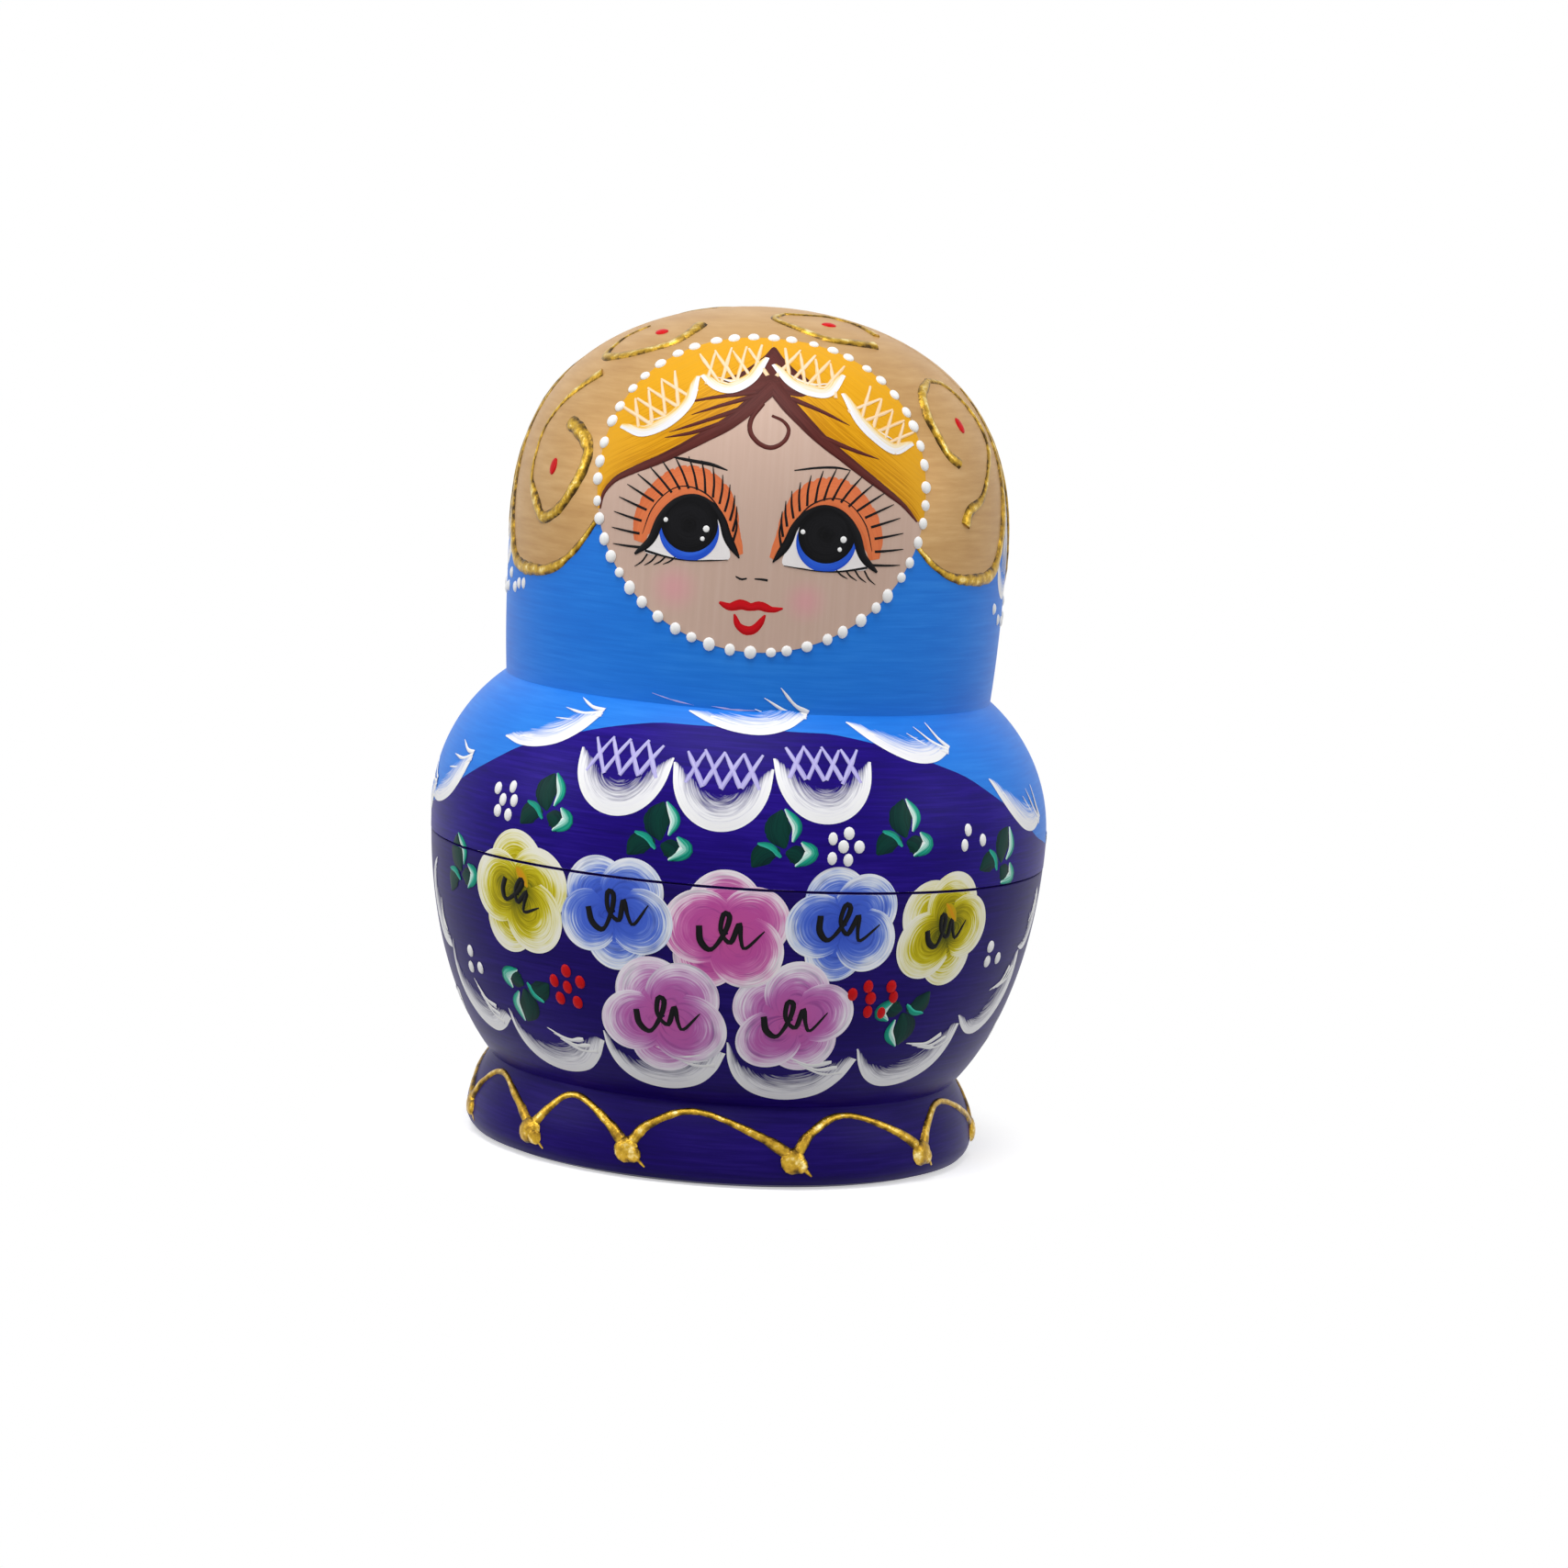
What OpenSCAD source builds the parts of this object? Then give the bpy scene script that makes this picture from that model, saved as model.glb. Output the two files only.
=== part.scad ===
// Nest of ten painted lime-wood dolls. Nine are turned hollow in two halves that plug together,
// and the smallest is one solid piece. Every doll is a smaller copy of the largest one, and it
// stands on the floor inside the next larger one. Sizes are millimetres. Z is up, the underside
// of the largest foot is z = 0, the common axis is x = y = 0, and the faces look along -Y.

/* [Outside of the largest doll] */
// Height from the table to the crown
doll_h = 140; // [132:1:150]
// Largest diameter, at the belly
belly_d = 103; // [100:0.5:110]
// Height of the largest diameter
belly_z = 55; // [53:0.5:57]
// Diameter of the crease between foot and body
waist_d = 78; // [76:0.5:80]
// Largest diameter of the foot
foot_d = 85.2; // [83:0.2:88]
// Diameter of the flat underside
sole_d = 79; // [74:0.5:80]
// Height where the foot is widest
foot_z = 3.2; // [2:0.2:5]
// Height of the crease between foot and body
foot_h = 13; // [11:0.5:13.5]
// Diameter of the crease between shoulders and head
neck_d = 81; // [79:0.5:82]
// Height of the crease between shoulders and head
neck_z = 77; // [75:0.5:79]
// Largest diameter of the head
head_d = 82.7; // [82:0.1:85]
// Height where the head is widest
head_z = 97; // [93:0.5:101]
// Half height of the oval that shapes the body below the belly
body_drop = 48; // [46:1:60]
// Half height of the oval that shapes the shoulders
shoulder_rise = 28; // [25:1:34]

/* [Hollow and joint of the largest doll] */
// Height where the two halves part
seam_z = 50; // [46:0.5:52]
// Solid wood from the underside to the floor of the hollow
floor_t = 14; // [14:0.5:18]
// Solid wood above the hollow of the head
crown_t = 8; // [6:0.5:12]
// Room above the head of the next smaller doll
head_play = 1.6; // [1:0.1:3]
// Height of the plug ring on the lower half
plug_h = 8; // [5:0.5:10]
// Wall of the plug ring
plug_t = 2.4; // [1.8:0.1:2.8]
// Wall of the upper half around the plug ring
lip_t = 2.6; // [2:0.1:2.8]
// Room above the plug ring inside the upper half
plug_play = 0.8; // [0.4:0.1:2]
// Broken edges at the seam and on the plug ring
edge = 0.4; // [0.2:0.05:0.8]

/* [Fits, the same on every doll] */
// Radial clearance between plug ring and upper half
fit_clear = 0.1; // [0.05:0.01:0.2]
// Open line between the two halves
seam_gap = 0.15; // [0.05:0.01:0.2]
// Clearance under the sole of a doll inside another
seat_gap = 0.1; // [0.05:0.01:0.2]
// Least clearance all round a doll inside another
side_play = 0.02; // [0.01:0.01:0.1]

/* [Hidden] */
$fn = 96;
belly_r = belly_d / 2;
waist_r = waist_d / 2;
foot_r = foot_d / 2;
sole_r = sole_d / 2;
neck_r = neck_d / 2;
head_r = head_d / 2;
wall = plug_t + lip_t;
hollow_top = doll_h - crown_t;

// Size of doll n against the largest one, and the height of its underside
function size(n) = pow(nest_ratio, n - 1);
function base_z(n) = n == 1 ? 0 : base_z(n - 1) + floor_t * size(n - 1) + seat_gap;

// Outline of the largest doll
function dip(u) = 1 - sqrt(max(0, 1 - u * u));
function share(z, from, to, half) = dip((z - from) / half) / dip((to - from) / half);
function foot_outline(z) = z < foot_z
    ? sole_r + (foot_r - sole_r) * sqrt(max(0, 1 - pow((foot_z - z) / foot_z, 2)))
    : foot_r - (foot_r - waist_r) * pow((z - foot_z) / (foot_h - foot_z), 2);
function body_outline(z) = z < belly_z
    ? belly_r - (belly_r - waist_r) * share(z, belly_z, foot_h, body_drop)
    : belly_r - (belly_r - neck_r) * share(z, belly_z, neck_z, shoulder_rise);
function dome(z, r, top) = r * sqrt(max(0, 1 - pow((z - head_z) / (top - head_z), 3)));
function head_outline(z) = z < head_z
    ? head_r - (head_r - neck_r) * pow((head_z - z) / (head_z - neck_z), 2)
    : dome(z, head_r, doll_h);
function outline(z) = z < foot_h ? foot_outline(z) : z < neck_z ? body_outline(z) : head_outline(z);

// Hollow of the largest doll. It widens all the way to the seam, so every smaller doll lifts out.
function hollow(z) = z < neck_z ? body_outline(z) - wall
    : z < head_z ? neck_r - wall : dome(z, neck_r - wall, hollow_top);

// Heights at which the turned curves are followed
function steps(from, to, count) = [for (k = [1:count - 1]) from + (to - from) * k / count];
function dome_steps(top) = [for (a = [10:10:40]) head_z + (top - head_z) * sin(a)];
function cap_steps(top) = [for (a = [45:5:85]) head_z + (top - head_z) * sin(a)];
foot_heights = concat([for (a = [0:18:90]) foot_z * (1 - cos(a))], steps(foot_z, foot_h, 5), [foot_h]);
body_heights = concat(steps(foot_h, seam_z - edge, 12), [seam_z - edge]);
belly_heights = concat([seam_z + edge], steps(seam_z + edge, neck_z, 12), [neck_z]);
head_heights = concat(steps(neck_z, head_z, 5), [head_z], dome_steps(doll_h), cap_steps(doll_h));
cup_heights = concat([floor_t], steps(floor_t, seam_z, 9));
cap_foot = seam_z + plug_h + plug_play;
cap_heights = concat([cap_foot], steps(cap_foot, neck_z, 6), [neck_z, head_z]);
cap_dome = concat(dome_steps(hollow_top), cap_steps(hollow_top));

function reversed(list) = [for (k = [len(list) - 1:-1:0]) list[k]];
function scaled(points, s) = [for (p = points) p * s];
function outside(heights) = [for (z = heights) [outline(z), z]];
function inside(heights) = [for (z = heights) [hollow(z), z]];

// Radii of the plug ring
plug_r = outline(seam_z) - lip_t;
mouth_r = plug_r - plug_t;

// The next doll is as large as the hollow leaves room for, above its head and all round it, and
// its other sizes keep the proportion. The smallest pair has the least room, so it decides.
pairs = 9;
tallest_ratio = (doll_h - floor_t - crown_t - head_play) / doll_h;
function room(z) = min(hollow(z), mouth_r);
function slack(q) = let (s = pow(q, pairs - 1))
    s * min([for (k = [0:280]) let (z = doll_h * k / 280)
        room(floor_t + seat_gap / s + z * q) - outline(z) * q]);
function widest(low, high, tries) = let (q = (low + high) / 2)
    tries == 0 ? low : slack(q) < side_play ? widest(low, q, tries - 1) : widest(q, high, tries - 1);
nest_ratio = slack(tallest_ratio) < side_play ? widest(0.4, tallest_ratio, 12) : tallest_ratio;

// Profiles, for a doll of size s. Only the three fits don't shrink with it.
function lower_profile(s) = concat(
    [[0, 0]],
    scaled(outside(foot_heights), s),
    scaled(outside(body_heights), s),
    [[(outline(seam_z) - edge) * s, seam_z * s],
     [plug_r * s - fit_clear, seam_z * s],
     [plug_r * s - fit_clear, (seam_z + plug_h - edge) * s],
     [(plug_r - edge) * s - fit_clear, (seam_z + plug_h) * s],
     [mouth_r * s, (seam_z + plug_h) * s],
     [mouth_r * s, seam_z * s]],
    scaled(inside(reversed(cup_heights)), s),
    [[0, floor_t * s]]);
function upper_profile(s) = concat(
    [[plug_r * s, seam_z * s + seam_gap],
     [(outline(seam_z) - edge) * s, seam_z * s + seam_gap]],
    [for (z = belly_heights) [outline(z) * s, z * s + (z < belly_z ? seam_gap : 0)]],
    scaled(outside(head_heights), s),
    [[0, doll_h * s], [0, hollow_top * s]],
    scaled(inside(reversed(cap_dome)), s),
    scaled(inside(reversed(cap_heights)), s),
    [[plug_r * s, cap_foot * s]]);
function core_profile(s) = concat(
    [[0, 0]],
    scaled(outside(foot_heights), s),
    scaled(outside(body_heights), s),
    scaled(outside(belly_heights), s),
    scaled(outside(head_heights), s),
    [[0, doll_h * s]]);

module lower_half(n) {
    translate([0, 0, base_z(n)]) rotate_extrude() polygon(lower_profile(size(n)));
}
module upper_half(n) {
    translate([0, 0, base_z(n)]) rotate_extrude() polygon(upper_profile(size(n)));
}
module solid_doll(n) {
    translate([0, 0, base_z(n)]) rotate_extrude() polygon(core_profile(size(n)));
}

// The largest doll
module doll_1_lower() color("#33188c") lower_half(1);
module doll_1_upper() color("#2f86e0") upper_half(1);
// The smaller hollow dolls, each inside the one before
module doll_2_lower() color("#3b2093") lower_half(2);
module doll_2_upper() color("#3c90e4") upper_half(2);
module doll_3_lower() color("#43289a") lower_half(3);
module doll_3_upper() color("#499ae8") upper_half(3);
module doll_4_lower() color("#4b30a1") lower_half(4);
module doll_4_upper() color("#56a4ec") upper_half(4);
module doll_5_lower() color("#5338a8") lower_half(5);
module doll_5_upper() color("#63aef0") upper_half(5);
module doll_6_lower() color("#5b40af") lower_half(6);
module doll_6_upper() color("#70b8f4") upper_half(6);
module doll_7_lower() color("#6348b6") lower_half(7);
module doll_7_upper() color("#7dc2f6") upper_half(7);
module doll_8_lower() color("#6b50bd") lower_half(8);
module doll_8_upper() color("#8accf8") upper_half(8);
module doll_9_lower() color("#7358c4") lower_half(9);
module doll_9_upper() color("#97d6fa") upper_half(9);
// The smallest doll, which doesn't open
module doll_10_core() color("#c9a06a") solid_doll(10);

doll_1_lower();
doll_1_upper();
doll_2_lower();
doll_2_upper();
doll_3_lower();
doll_3_upper();
doll_4_lower();
doll_4_upper();
doll_5_lower();
doll_5_upper();
doll_6_lower();
doll_6_upper();
doll_7_lower();
doll_7_upper();
doll_8_lower();
doll_8_upper();
doll_9_lower();
doll_9_upper();
doll_10_core();
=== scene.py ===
# %% [markdown]
# A nest of ten painted wooden dolls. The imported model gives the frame: every turned half with its
# true size and place, and the body that it moves with. This script dresses that frame. It turns
# finer shells over the solids, and then paints the largest doll stroke by stroke, the way a
# painter does it: ground colours first, then the face, the flowers, the white lace and last the
# raised gilding. The smaller dolls get the same painting, smaller and plainer.

# %% Load the frame
import math

import bpy
import numpy as np
from mathutils import Matrix, Vector


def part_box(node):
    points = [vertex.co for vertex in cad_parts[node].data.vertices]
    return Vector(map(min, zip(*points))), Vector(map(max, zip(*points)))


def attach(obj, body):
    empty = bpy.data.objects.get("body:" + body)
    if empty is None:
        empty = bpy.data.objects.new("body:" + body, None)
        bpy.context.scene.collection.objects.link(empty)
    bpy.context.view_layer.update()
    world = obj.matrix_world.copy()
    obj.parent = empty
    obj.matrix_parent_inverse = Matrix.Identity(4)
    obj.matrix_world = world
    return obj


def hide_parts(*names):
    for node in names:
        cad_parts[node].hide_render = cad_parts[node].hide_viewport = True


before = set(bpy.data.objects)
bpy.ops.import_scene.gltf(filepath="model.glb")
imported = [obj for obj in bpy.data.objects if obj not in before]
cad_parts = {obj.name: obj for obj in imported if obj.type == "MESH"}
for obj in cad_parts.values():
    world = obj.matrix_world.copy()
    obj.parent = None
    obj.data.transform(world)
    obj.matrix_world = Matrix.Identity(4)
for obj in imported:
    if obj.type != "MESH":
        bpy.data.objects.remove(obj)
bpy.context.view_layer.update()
MM = 0.001

# %% [markdown]
# The solids follow one outline that is shrunk for every smaller doll. The script can't read the
# part's source, so it repeats the driving sizes, in millimetres, and the same curves. With the
# outline as a function, anything can be put on the surface exactly, from a whole shell down to an
# eyelash. The boxes of the frame then tell whether the two agree.

# %% Sizes of the largest doll and its outline
DOLLS = 10
DOLL_H, BELLY_R, BELLY_Z = 140.0, 51.5, 55.0
WAIST_R, FOOT_R, SOLE_R, FOOT_Z, FOOT_H = 39.0, 42.6, 39.5, 3.2, 13.0
NECK_R, NECK_Z, HEAD_R, HEAD_Z = 40.5, 77.0, 41.35, 97.0
BODY_DROP, SHOULDER_RISE = 48.0, 28.0
SEAM_Z, FLOOR_T, CROWN_T, HEAD_PLAY = 50.0, 14.0, 8.0, 1.6
PLUG_H, PLUG_T, LIP_T, PLUG_PLAY = 8.0, 2.4, 2.6, 0.8
FIT_CLEAR, SEAM_GAP, SEAT_GAP = 0.1, 0.15, 0.1
WALL, HOLLOW_TOP = PLUG_T + LIP_T, DOLL_H - CROWN_T
NEST = (DOLL_H - FLOOR_T - CROWN_T - HEAD_PLAY) / DOLL_H


def dip(u):
    return 1 - math.sqrt(max(0.0, 1 - u * u))


def share(z, start, end, half):
    return dip((z - start) / half) / dip((end - start) / half)


def dome(z, r, top):
    return r * math.sqrt(max(0.0, 1 - ((z - HEAD_Z) / (top - HEAD_Z)) ** 3))


def outline(z):
    if z < FOOT_Z:
        return SOLE_R + (FOOT_R - SOLE_R) * math.sqrt(1 - ((FOOT_Z - z) / FOOT_Z) ** 2)
    if z < FOOT_H:
        return FOOT_R - (FOOT_R - WAIST_R) * ((z - FOOT_Z) / (FOOT_H - FOOT_Z)) ** 2
    if z < BELLY_Z:
        return BELLY_R - (BELLY_R - WAIST_R) * share(z, BELLY_Z, FOOT_H, BODY_DROP)
    if z < NECK_Z:
        return BELLY_R - (BELLY_R - NECK_R) * share(z, BELLY_Z, NECK_Z, SHOULDER_RISE)
    if z < HEAD_Z:
        return HEAD_R - (HEAD_R - NECK_R) * ((HEAD_Z - z) / (HEAD_Z - NECK_Z)) ** 2
    return dome(z, HEAD_R, DOLL_H)


def hollow(z):
    if z < NECK_Z:
        return outline(max(z, FOOT_H)) - WALL
    return NECK_R - WALL if z < HEAD_Z else dome(z, NECK_R - WALL, HOLLOW_TOP)


def size(n):
    return NEST ** (n - 1)


def base_z(n):
    return 0.0 if n == 1 else base_z(n - 1) + FLOOR_T * size(n - 1) + SEAT_GAP


for n in (1, 5, 10):
    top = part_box(f"doll_{n}_upper" if n < DOLLS else "doll_10_core")[1].z / MM
    made = base_z(n) + DOLL_H * size(n)
    print("doll", n, "top from the curves", round(made, 2), "in the frame", round(top, 2))

# %% [markdown]
# The camera stands where the photographer stood: 0.8 m away, a little above the crown, with a
# long lens, and the picture is tipped by four degrees. Building the view from a direction and an
# up vector keeps each of these a plain number, which rotation angles typed by hand wouldn't.

# %% Camera
PHOTO_PX, SENSOR_MM = 1708, 36.0
CAMERA_AT = (0.0, -0.8, 0.16044)
LENS_PX, AXIS_LEFT_PX = 5236.5, 46.1
LOOK_DOWN, ROLL = math.radians(7.103), math.radians(4.0)

scene = bpy.context.scene
lens = bpy.data.cameras.new("camera")
lens.sensor_width = SENSOR_MM
lens.lens = LENS_PX / PHOTO_PX * SENSOR_MM
lens.clip_start, lens.clip_end = 0.01, 50.0
camera = bpy.data.objects.new("camera", lens)
scene.collection.objects.link(camera)
scene.camera = camera

ahead = Vector((AXIS_LEFT_PX / LENS_PX, math.cos(LOOK_DOWN), -math.sin(LOOK_DOWN))).normalized()
sideways = ahead.cross(Vector((0, 0, 1))).normalized()
upward = sideways.cross(ahead) * math.cos(ROLL) - sideways * math.sin(ROLL)
facing = Matrix((ahead.cross(upward), upward, -ahead)).transposed().to_4x4()
camera.matrix_world = Matrix.Translation(CAMERA_AT) @ facing
print("lens in mm:", round(lens.lens, 1))

# %% [markdown]
# A product shot on white has soft light from all round and a large soft lamp in front and above.
# The world is white for the eye and for reflections, and dimmer as a light, so that the paints
# render as they are written. The floor is white as well, and only the soft shadow shows on it.
# Nodes come from one helper: it takes the end of a node's type name and what goes into its inputs.

# %% Helpers for nodes and colours
scene.view_settings.view_transform = "Standard"


def add_node(tree, kind, inputs=(), stops=(), **settings):
    """One shader node. An input is a value, a socket, or a node, whose first output is taken."""
    node = tree.nodes.new("ShaderNode" + kind)
    for name, value in settings.items():
        setattr(node, name, value)
    for k, (place, colour) in enumerate(stops):
        ramp = node.color_ramp.elements
        stop = ramp[k] if k < len(ramp) else ramp.new(place)
        stop.position, stop.color = place, colour
    for name, value in dict(inputs).items():
        if isinstance(value, bpy.types.Node):
            value = value.outputs[0]
        if isinstance(value, bpy.types.NodeSocket):
            tree.links.new(value, node.inputs[name])
        else:
            node.inputs[name].default_value = value
    return node


def empty_tree(owner):
    """The node tree of a world or a material, with nothing in it yet."""
    owner.use_nodes = True
    owner.node_tree.nodes.clear()
    return owner.node_tree


def linear(code):
    """An sRGB hex value as linear colour."""
    parts = [int(code[k:k + 2], 16) / 255 for k in (1, 3, 5)]
    return tuple(c / 12.92 if c <= 0.04045 else ((c + 0.055) / 1.055) ** 2.4 for c in parts) + (1.0,)


def white_rays(tree):
    """1 for the rays that should find white: those of the camera, of reflections and through glass."""
    path = add_node(tree, "LightPath").outputs
    seen = add_node(tree, "Math", {0: path["Is Camera Ray"], 1: path["Is Glossy Ray"]}, operation="MAXIMUM")
    return add_node(tree, "Math", {0: seen, 1: path["Is Transmission Ray"]}, operation="MAXIMUM")


print("helpers ready; mid grey is", round(linear("#808080")[0], 3))

# %% Studio
AMBIENT, FLOOR_GLOW = 0.4, 0.5
FLOOR_WIDE, SHADOW_FADE = 8.0, (0.044, 0.07)
# Place, height of the aim on the axis, width and watts of each lamp
LAMPS = {"key_softbox": ((-0.1, -0.35, 1.0), 0.08, 0.7, 7.8),
         "front_softbox": ((-0.1, -1.1, 0.45), 0.1, 0.5, 0.35),
         "left_softbox": ((-0.9, -0.2, 0.45), 0.08, 0.5, 2.4),
         "right_softbox": ((0.9, -0.2, 0.45), 0.08, 0.5, 1.8)}

scene.world = bpy.data.worlds.new("studio")
tree = empty_tree(scene.world)
level = add_node(tree, "MapRange", {"Value": white_rays(tree), "To Min": AMBIENT, "To Max": 1.0})
sky = add_node(tree, "Background", {"Color": (1, 1, 1, 1), "Strength": level})
add_node(tree, "OutputWorld", {"Surface": sky})

for name, (place, aim, width, watts) in LAMPS.items():
    light = bpy.data.lights.new(name, "AREA")
    light.size, light.energy = width, watts
    lamp = bpy.data.objects.new(name, light)
    scene.collection.objects.link(lamp)
    away = Vector(place) - Vector((0, 0, aim))
    lamp.matrix_world = Matrix.Translation(place) @ away.to_track_quat("Z", "Y").to_matrix().to_4x4()

bpy.ops.object.select_all(action="DESELECT")
bpy.ops.mesh.primitive_plane_add(size=FLOOR_WIDE, location=(0, 0, 0))
floor = bpy.context.object
floor.name = "floor"
# White paper: softly shadowed close to the foot, plain white further out
paper = bpy.data.materials.new("white_paper")
tree = empty_tree(paper)
place = add_node(tree, "TexCoord")
away = add_node(tree, "VectorMath", {0: place.outputs["Object"]}, operation="LENGTH")
far = add_node(tree, "MapRange", {"Value": away.outputs["Value"], "From Min": SHADOW_FADE[0],
               "From Max": SHADOW_FADE[1]}, interpolation_type="SMOOTHSTEP")
matt = add_node(tree, "BsdfDiffuse", {"Color": linear("#f0f0f0")})
dull = add_node(tree, "BsdfDiffuse", {"Color": linear("#b0b0b0")})
glow = add_node(tree, "Emission", {"Strength": FLOOR_GLOW})
lit = add_node(tree, "AddShader", {0: matt, 1: glow})
white = add_node(tree, "Emission", {"Strength": 1.0})
shown = add_node(tree, "MixShader", {0: far, 1: lit, 2: white})
mixed = add_node(tree, "MixShader", {0: white_rays(tree), 1: dull, 2: shown})
add_node(tree, "OutputMaterial", {"Surface": mixed})
floor.data.materials.append(paper)

# %% [markdown]
# Each half was turned on a lathe, so it is modelled the same way: one point is extruded along the
# half of the section that lies right of the axis, and Spin carries that line once round. Merging
# doubles closes the start of the turn and the two poles, and the normals are recalculated after
# that, because a spun shape can come out inside out. A screw modifier would do as well, but here
# the result is plain mesh at once.

# %% Sections of the halves
EDGE, BLEED = 0.15, 0.8
RIM_R, PLUG_R = outline(SEAM_Z), outline(SEAM_Z) - LIP_T
MOUTH_R, PLUG_TOP = PLUG_R - PLUG_T, SEAM_Z + PLUG_H
CAP_FOOT = SEAM_Z + PLUG_H + PLUG_PLAY


def between(start, end, count):
    return [start + (end - start) * k / count for k in range(count + 1)]


def arc_heights(start, end, count):
    """Heights that crowd towards end, as evenly spaced angles on a quarter circle do."""
    return [start + (end - start) * math.sin(math.pi / 2 * k / count) for k in range(count + 1)]


def outside_heights(rows):
    """Heights that follow the outside, for the half below the seam and the half above it."""
    sole = [FOOT_Z - z for z in arc_heights(FOOT_Z, 0.0, rows // 5)]
    below = sole + between(FOOT_Z, FOOT_H, rows // 4)[1:] + between(FOOT_H, SEAM_Z - EDGE, rows)[1:]
    above = between(SEAM_Z + EDGE, NECK_Z, rows) + between(NECK_Z, HEAD_Z, rows // 2)[1:]
    return below, above + arc_heights(HEAD_Z, DOLL_H, rows)[1:]


def lower_section(s, rows):
    outer = [(outline(z) * s, z * s) for z in outside_heights(rows)[0]]
    inner = [(hollow(z) * s, z * s) for z in reversed(between(FLOOR_T, SEAM_Z, rows // 2))]
    ring = PLUG_R * s - FIT_CLEAR
    rim = [((RIM_R - EDGE) * s, SEAM_Z * s), ((RIM_R - BLEED) * s, SEAM_Z * s), (ring, SEAM_Z * s),
           (ring, (PLUG_TOP - 2 * EDGE) * s), (ring - 2 * EDGE * s, PLUG_TOP * s),
           ((MOUTH_R + EDGE) * s, PLUG_TOP * s), (MOUTH_R * s, (PLUG_TOP - EDGE) * s)]
    return [(0.0, 0.0)] + outer + rim + inner + [(0.0, FLOOR_T * s)]


def upper_section(s, rows):
    outer = [(outline(z) * s, z * s + (SEAM_GAP if z < BELLY_Z else 0)) for z in outside_heights(rows)[1]]
    dome_in = arc_heights(HEAD_Z, HOLLOW_TOP, rows // 2)
    inside = between(CAP_FOOT, NECK_Z, rows // 3) + [HEAD_Z] + dome_in[1:]
    inner = [(hollow(z) * s, z * s) for z in reversed(inside)]
    foot = SEAM_Z * s + SEAM_GAP
    rim = [(PLUG_R * s, foot), ((RIM_R - BLEED) * s, foot), ((RIM_R - EDGE) * s, foot)]
    return rim + outer + inner + [(PLUG_R * s, CAP_FOOT * s), (PLUG_R * s, foot)]


def core_section(s, rows):
    below, above = outside_heights(rows)
    return [(0.0, 0.0)] + [(outline(z) * s, z * s) for z in below + above]


print("points in the largest lower section:", len(lower_section(1.0, 36)))

# %% Turn the halves
MERGE, SOFT_EDGE = 2e-6, math.radians(25)
# Rows along the section and steps round the axis: the largest doll, the next three, the others
FINE, MEDIUM, COARSE = (36, 192), (24, 96), (16, 72)


def turn(name, section, lift, steps):
    """Extrude a point along the section, in mm, and spin that line round the axis."""
    bpy.ops.object.select_all(action="DESELECT")
    bpy.ops.mesh.primitive_plane_add(size=MM)
    piece = bpy.context.object
    piece.name = piece.data.name = name
    bpy.ops.object.mode_set(mode="EDIT")
    bpy.ops.mesh.select_all(action="SELECT")
    bpy.ops.mesh.merge(type="CENTER")
    at = (0.0, -lift)
    for k, (r, z) in enumerate(section):
        step = ((r - at[0]) * MM, 0.0, (z - at[1]) * MM)
        if k == 0:
            bpy.ops.transform.translate(value=step)
        else:
            bpy.ops.mesh.extrude_vertices_move(TRANSFORM_OT_translate={"value": step})
        at = (r, z)
    bpy.ops.mesh.select_all(action="SELECT")
    bpy.ops.mesh.spin(steps=steps, angle=math.tau, center=(0, 0, 0), axis=(0, 0, 1))
    bpy.ops.mesh.select_all(action="SELECT")
    bpy.ops.mesh.remove_doubles(threshold=MERGE)
    bpy.ops.mesh.normals_make_consistent(inside=False)
    bpy.ops.object.mode_set(mode="OBJECT")
    bpy.ops.object.shade_smooth_by_angle(angle=SOFT_EDGE)
    return piece


shells = {}
for n in range(1, DOLLS + 1):
    rows, steps = FINE if n == 1 else MEDIUM if n < 5 else COARSE
    s, lift = size(n), base_z(n)
    if n < DOLLS:
        shells[f"doll_{n}_lower"] = turn(f"doll_{n}_lower_half", lower_section(s, rows), lift, steps)
        shells[f"doll_{n}_upper"] = turn(f"doll_{n}_upper_half", upper_section(s, rows), lift, steps)
    else:
        shells["doll_10_core"] = turn("doll_10_whole", core_section(s, rows), lift, steps)
for node, piece in shells.items():
    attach(piece, node)
    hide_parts(node)
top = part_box("doll_1_upper")[1].z
made = max(v.co.z for v in shells["doll_1_upper"].data.vertices)
print("shells:", len(shells), "largest upper half, frame and mesh tops:", round(top, 5), round(made, 5))

# %% [markdown]
# Ground colours come next. They are tempera under a thin varnish, laid on with a broad brush while
# the doll turned on the lathe, so the bristles leave fine lighter and darker lines round the axis.
# A noise that is squeezed along the height and stretched round the doll gives that. A wave texture
# would be too regular. The inside is lime wood as the gouge left it.

# %% Ground colours of the wooden halves
GROUNDS = {
    "violet_tempera": dict(colours=("#16055e", "#1e0878", "#2c1690"), wide=11.0, tall=0.5),
    "deep_violet_tempera": dict(colours=("#14054e", "#1a0860", "#261474"), wide=11.0, tall=0.5),
    "azure_tempera": dict(colours=("#146fd6", "#1b79de", "#2a86e6"), wide=12.0, tall=0.6),
    "bronze_powder_paint": dict(colours=("#b0854f", "#bc935c", "#c8a16c"), wide=9.0, tall=1.0),
    "turned_lime_wood": dict(colours=("#cfae84", "#e0c69f", "#ead5b2"), wide=14.0, tall=0.9),
}
CLOUD_MM, CLOUD_SHARE, RIDGES = 20, 0.35, 0.6
FINISH = {}


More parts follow.
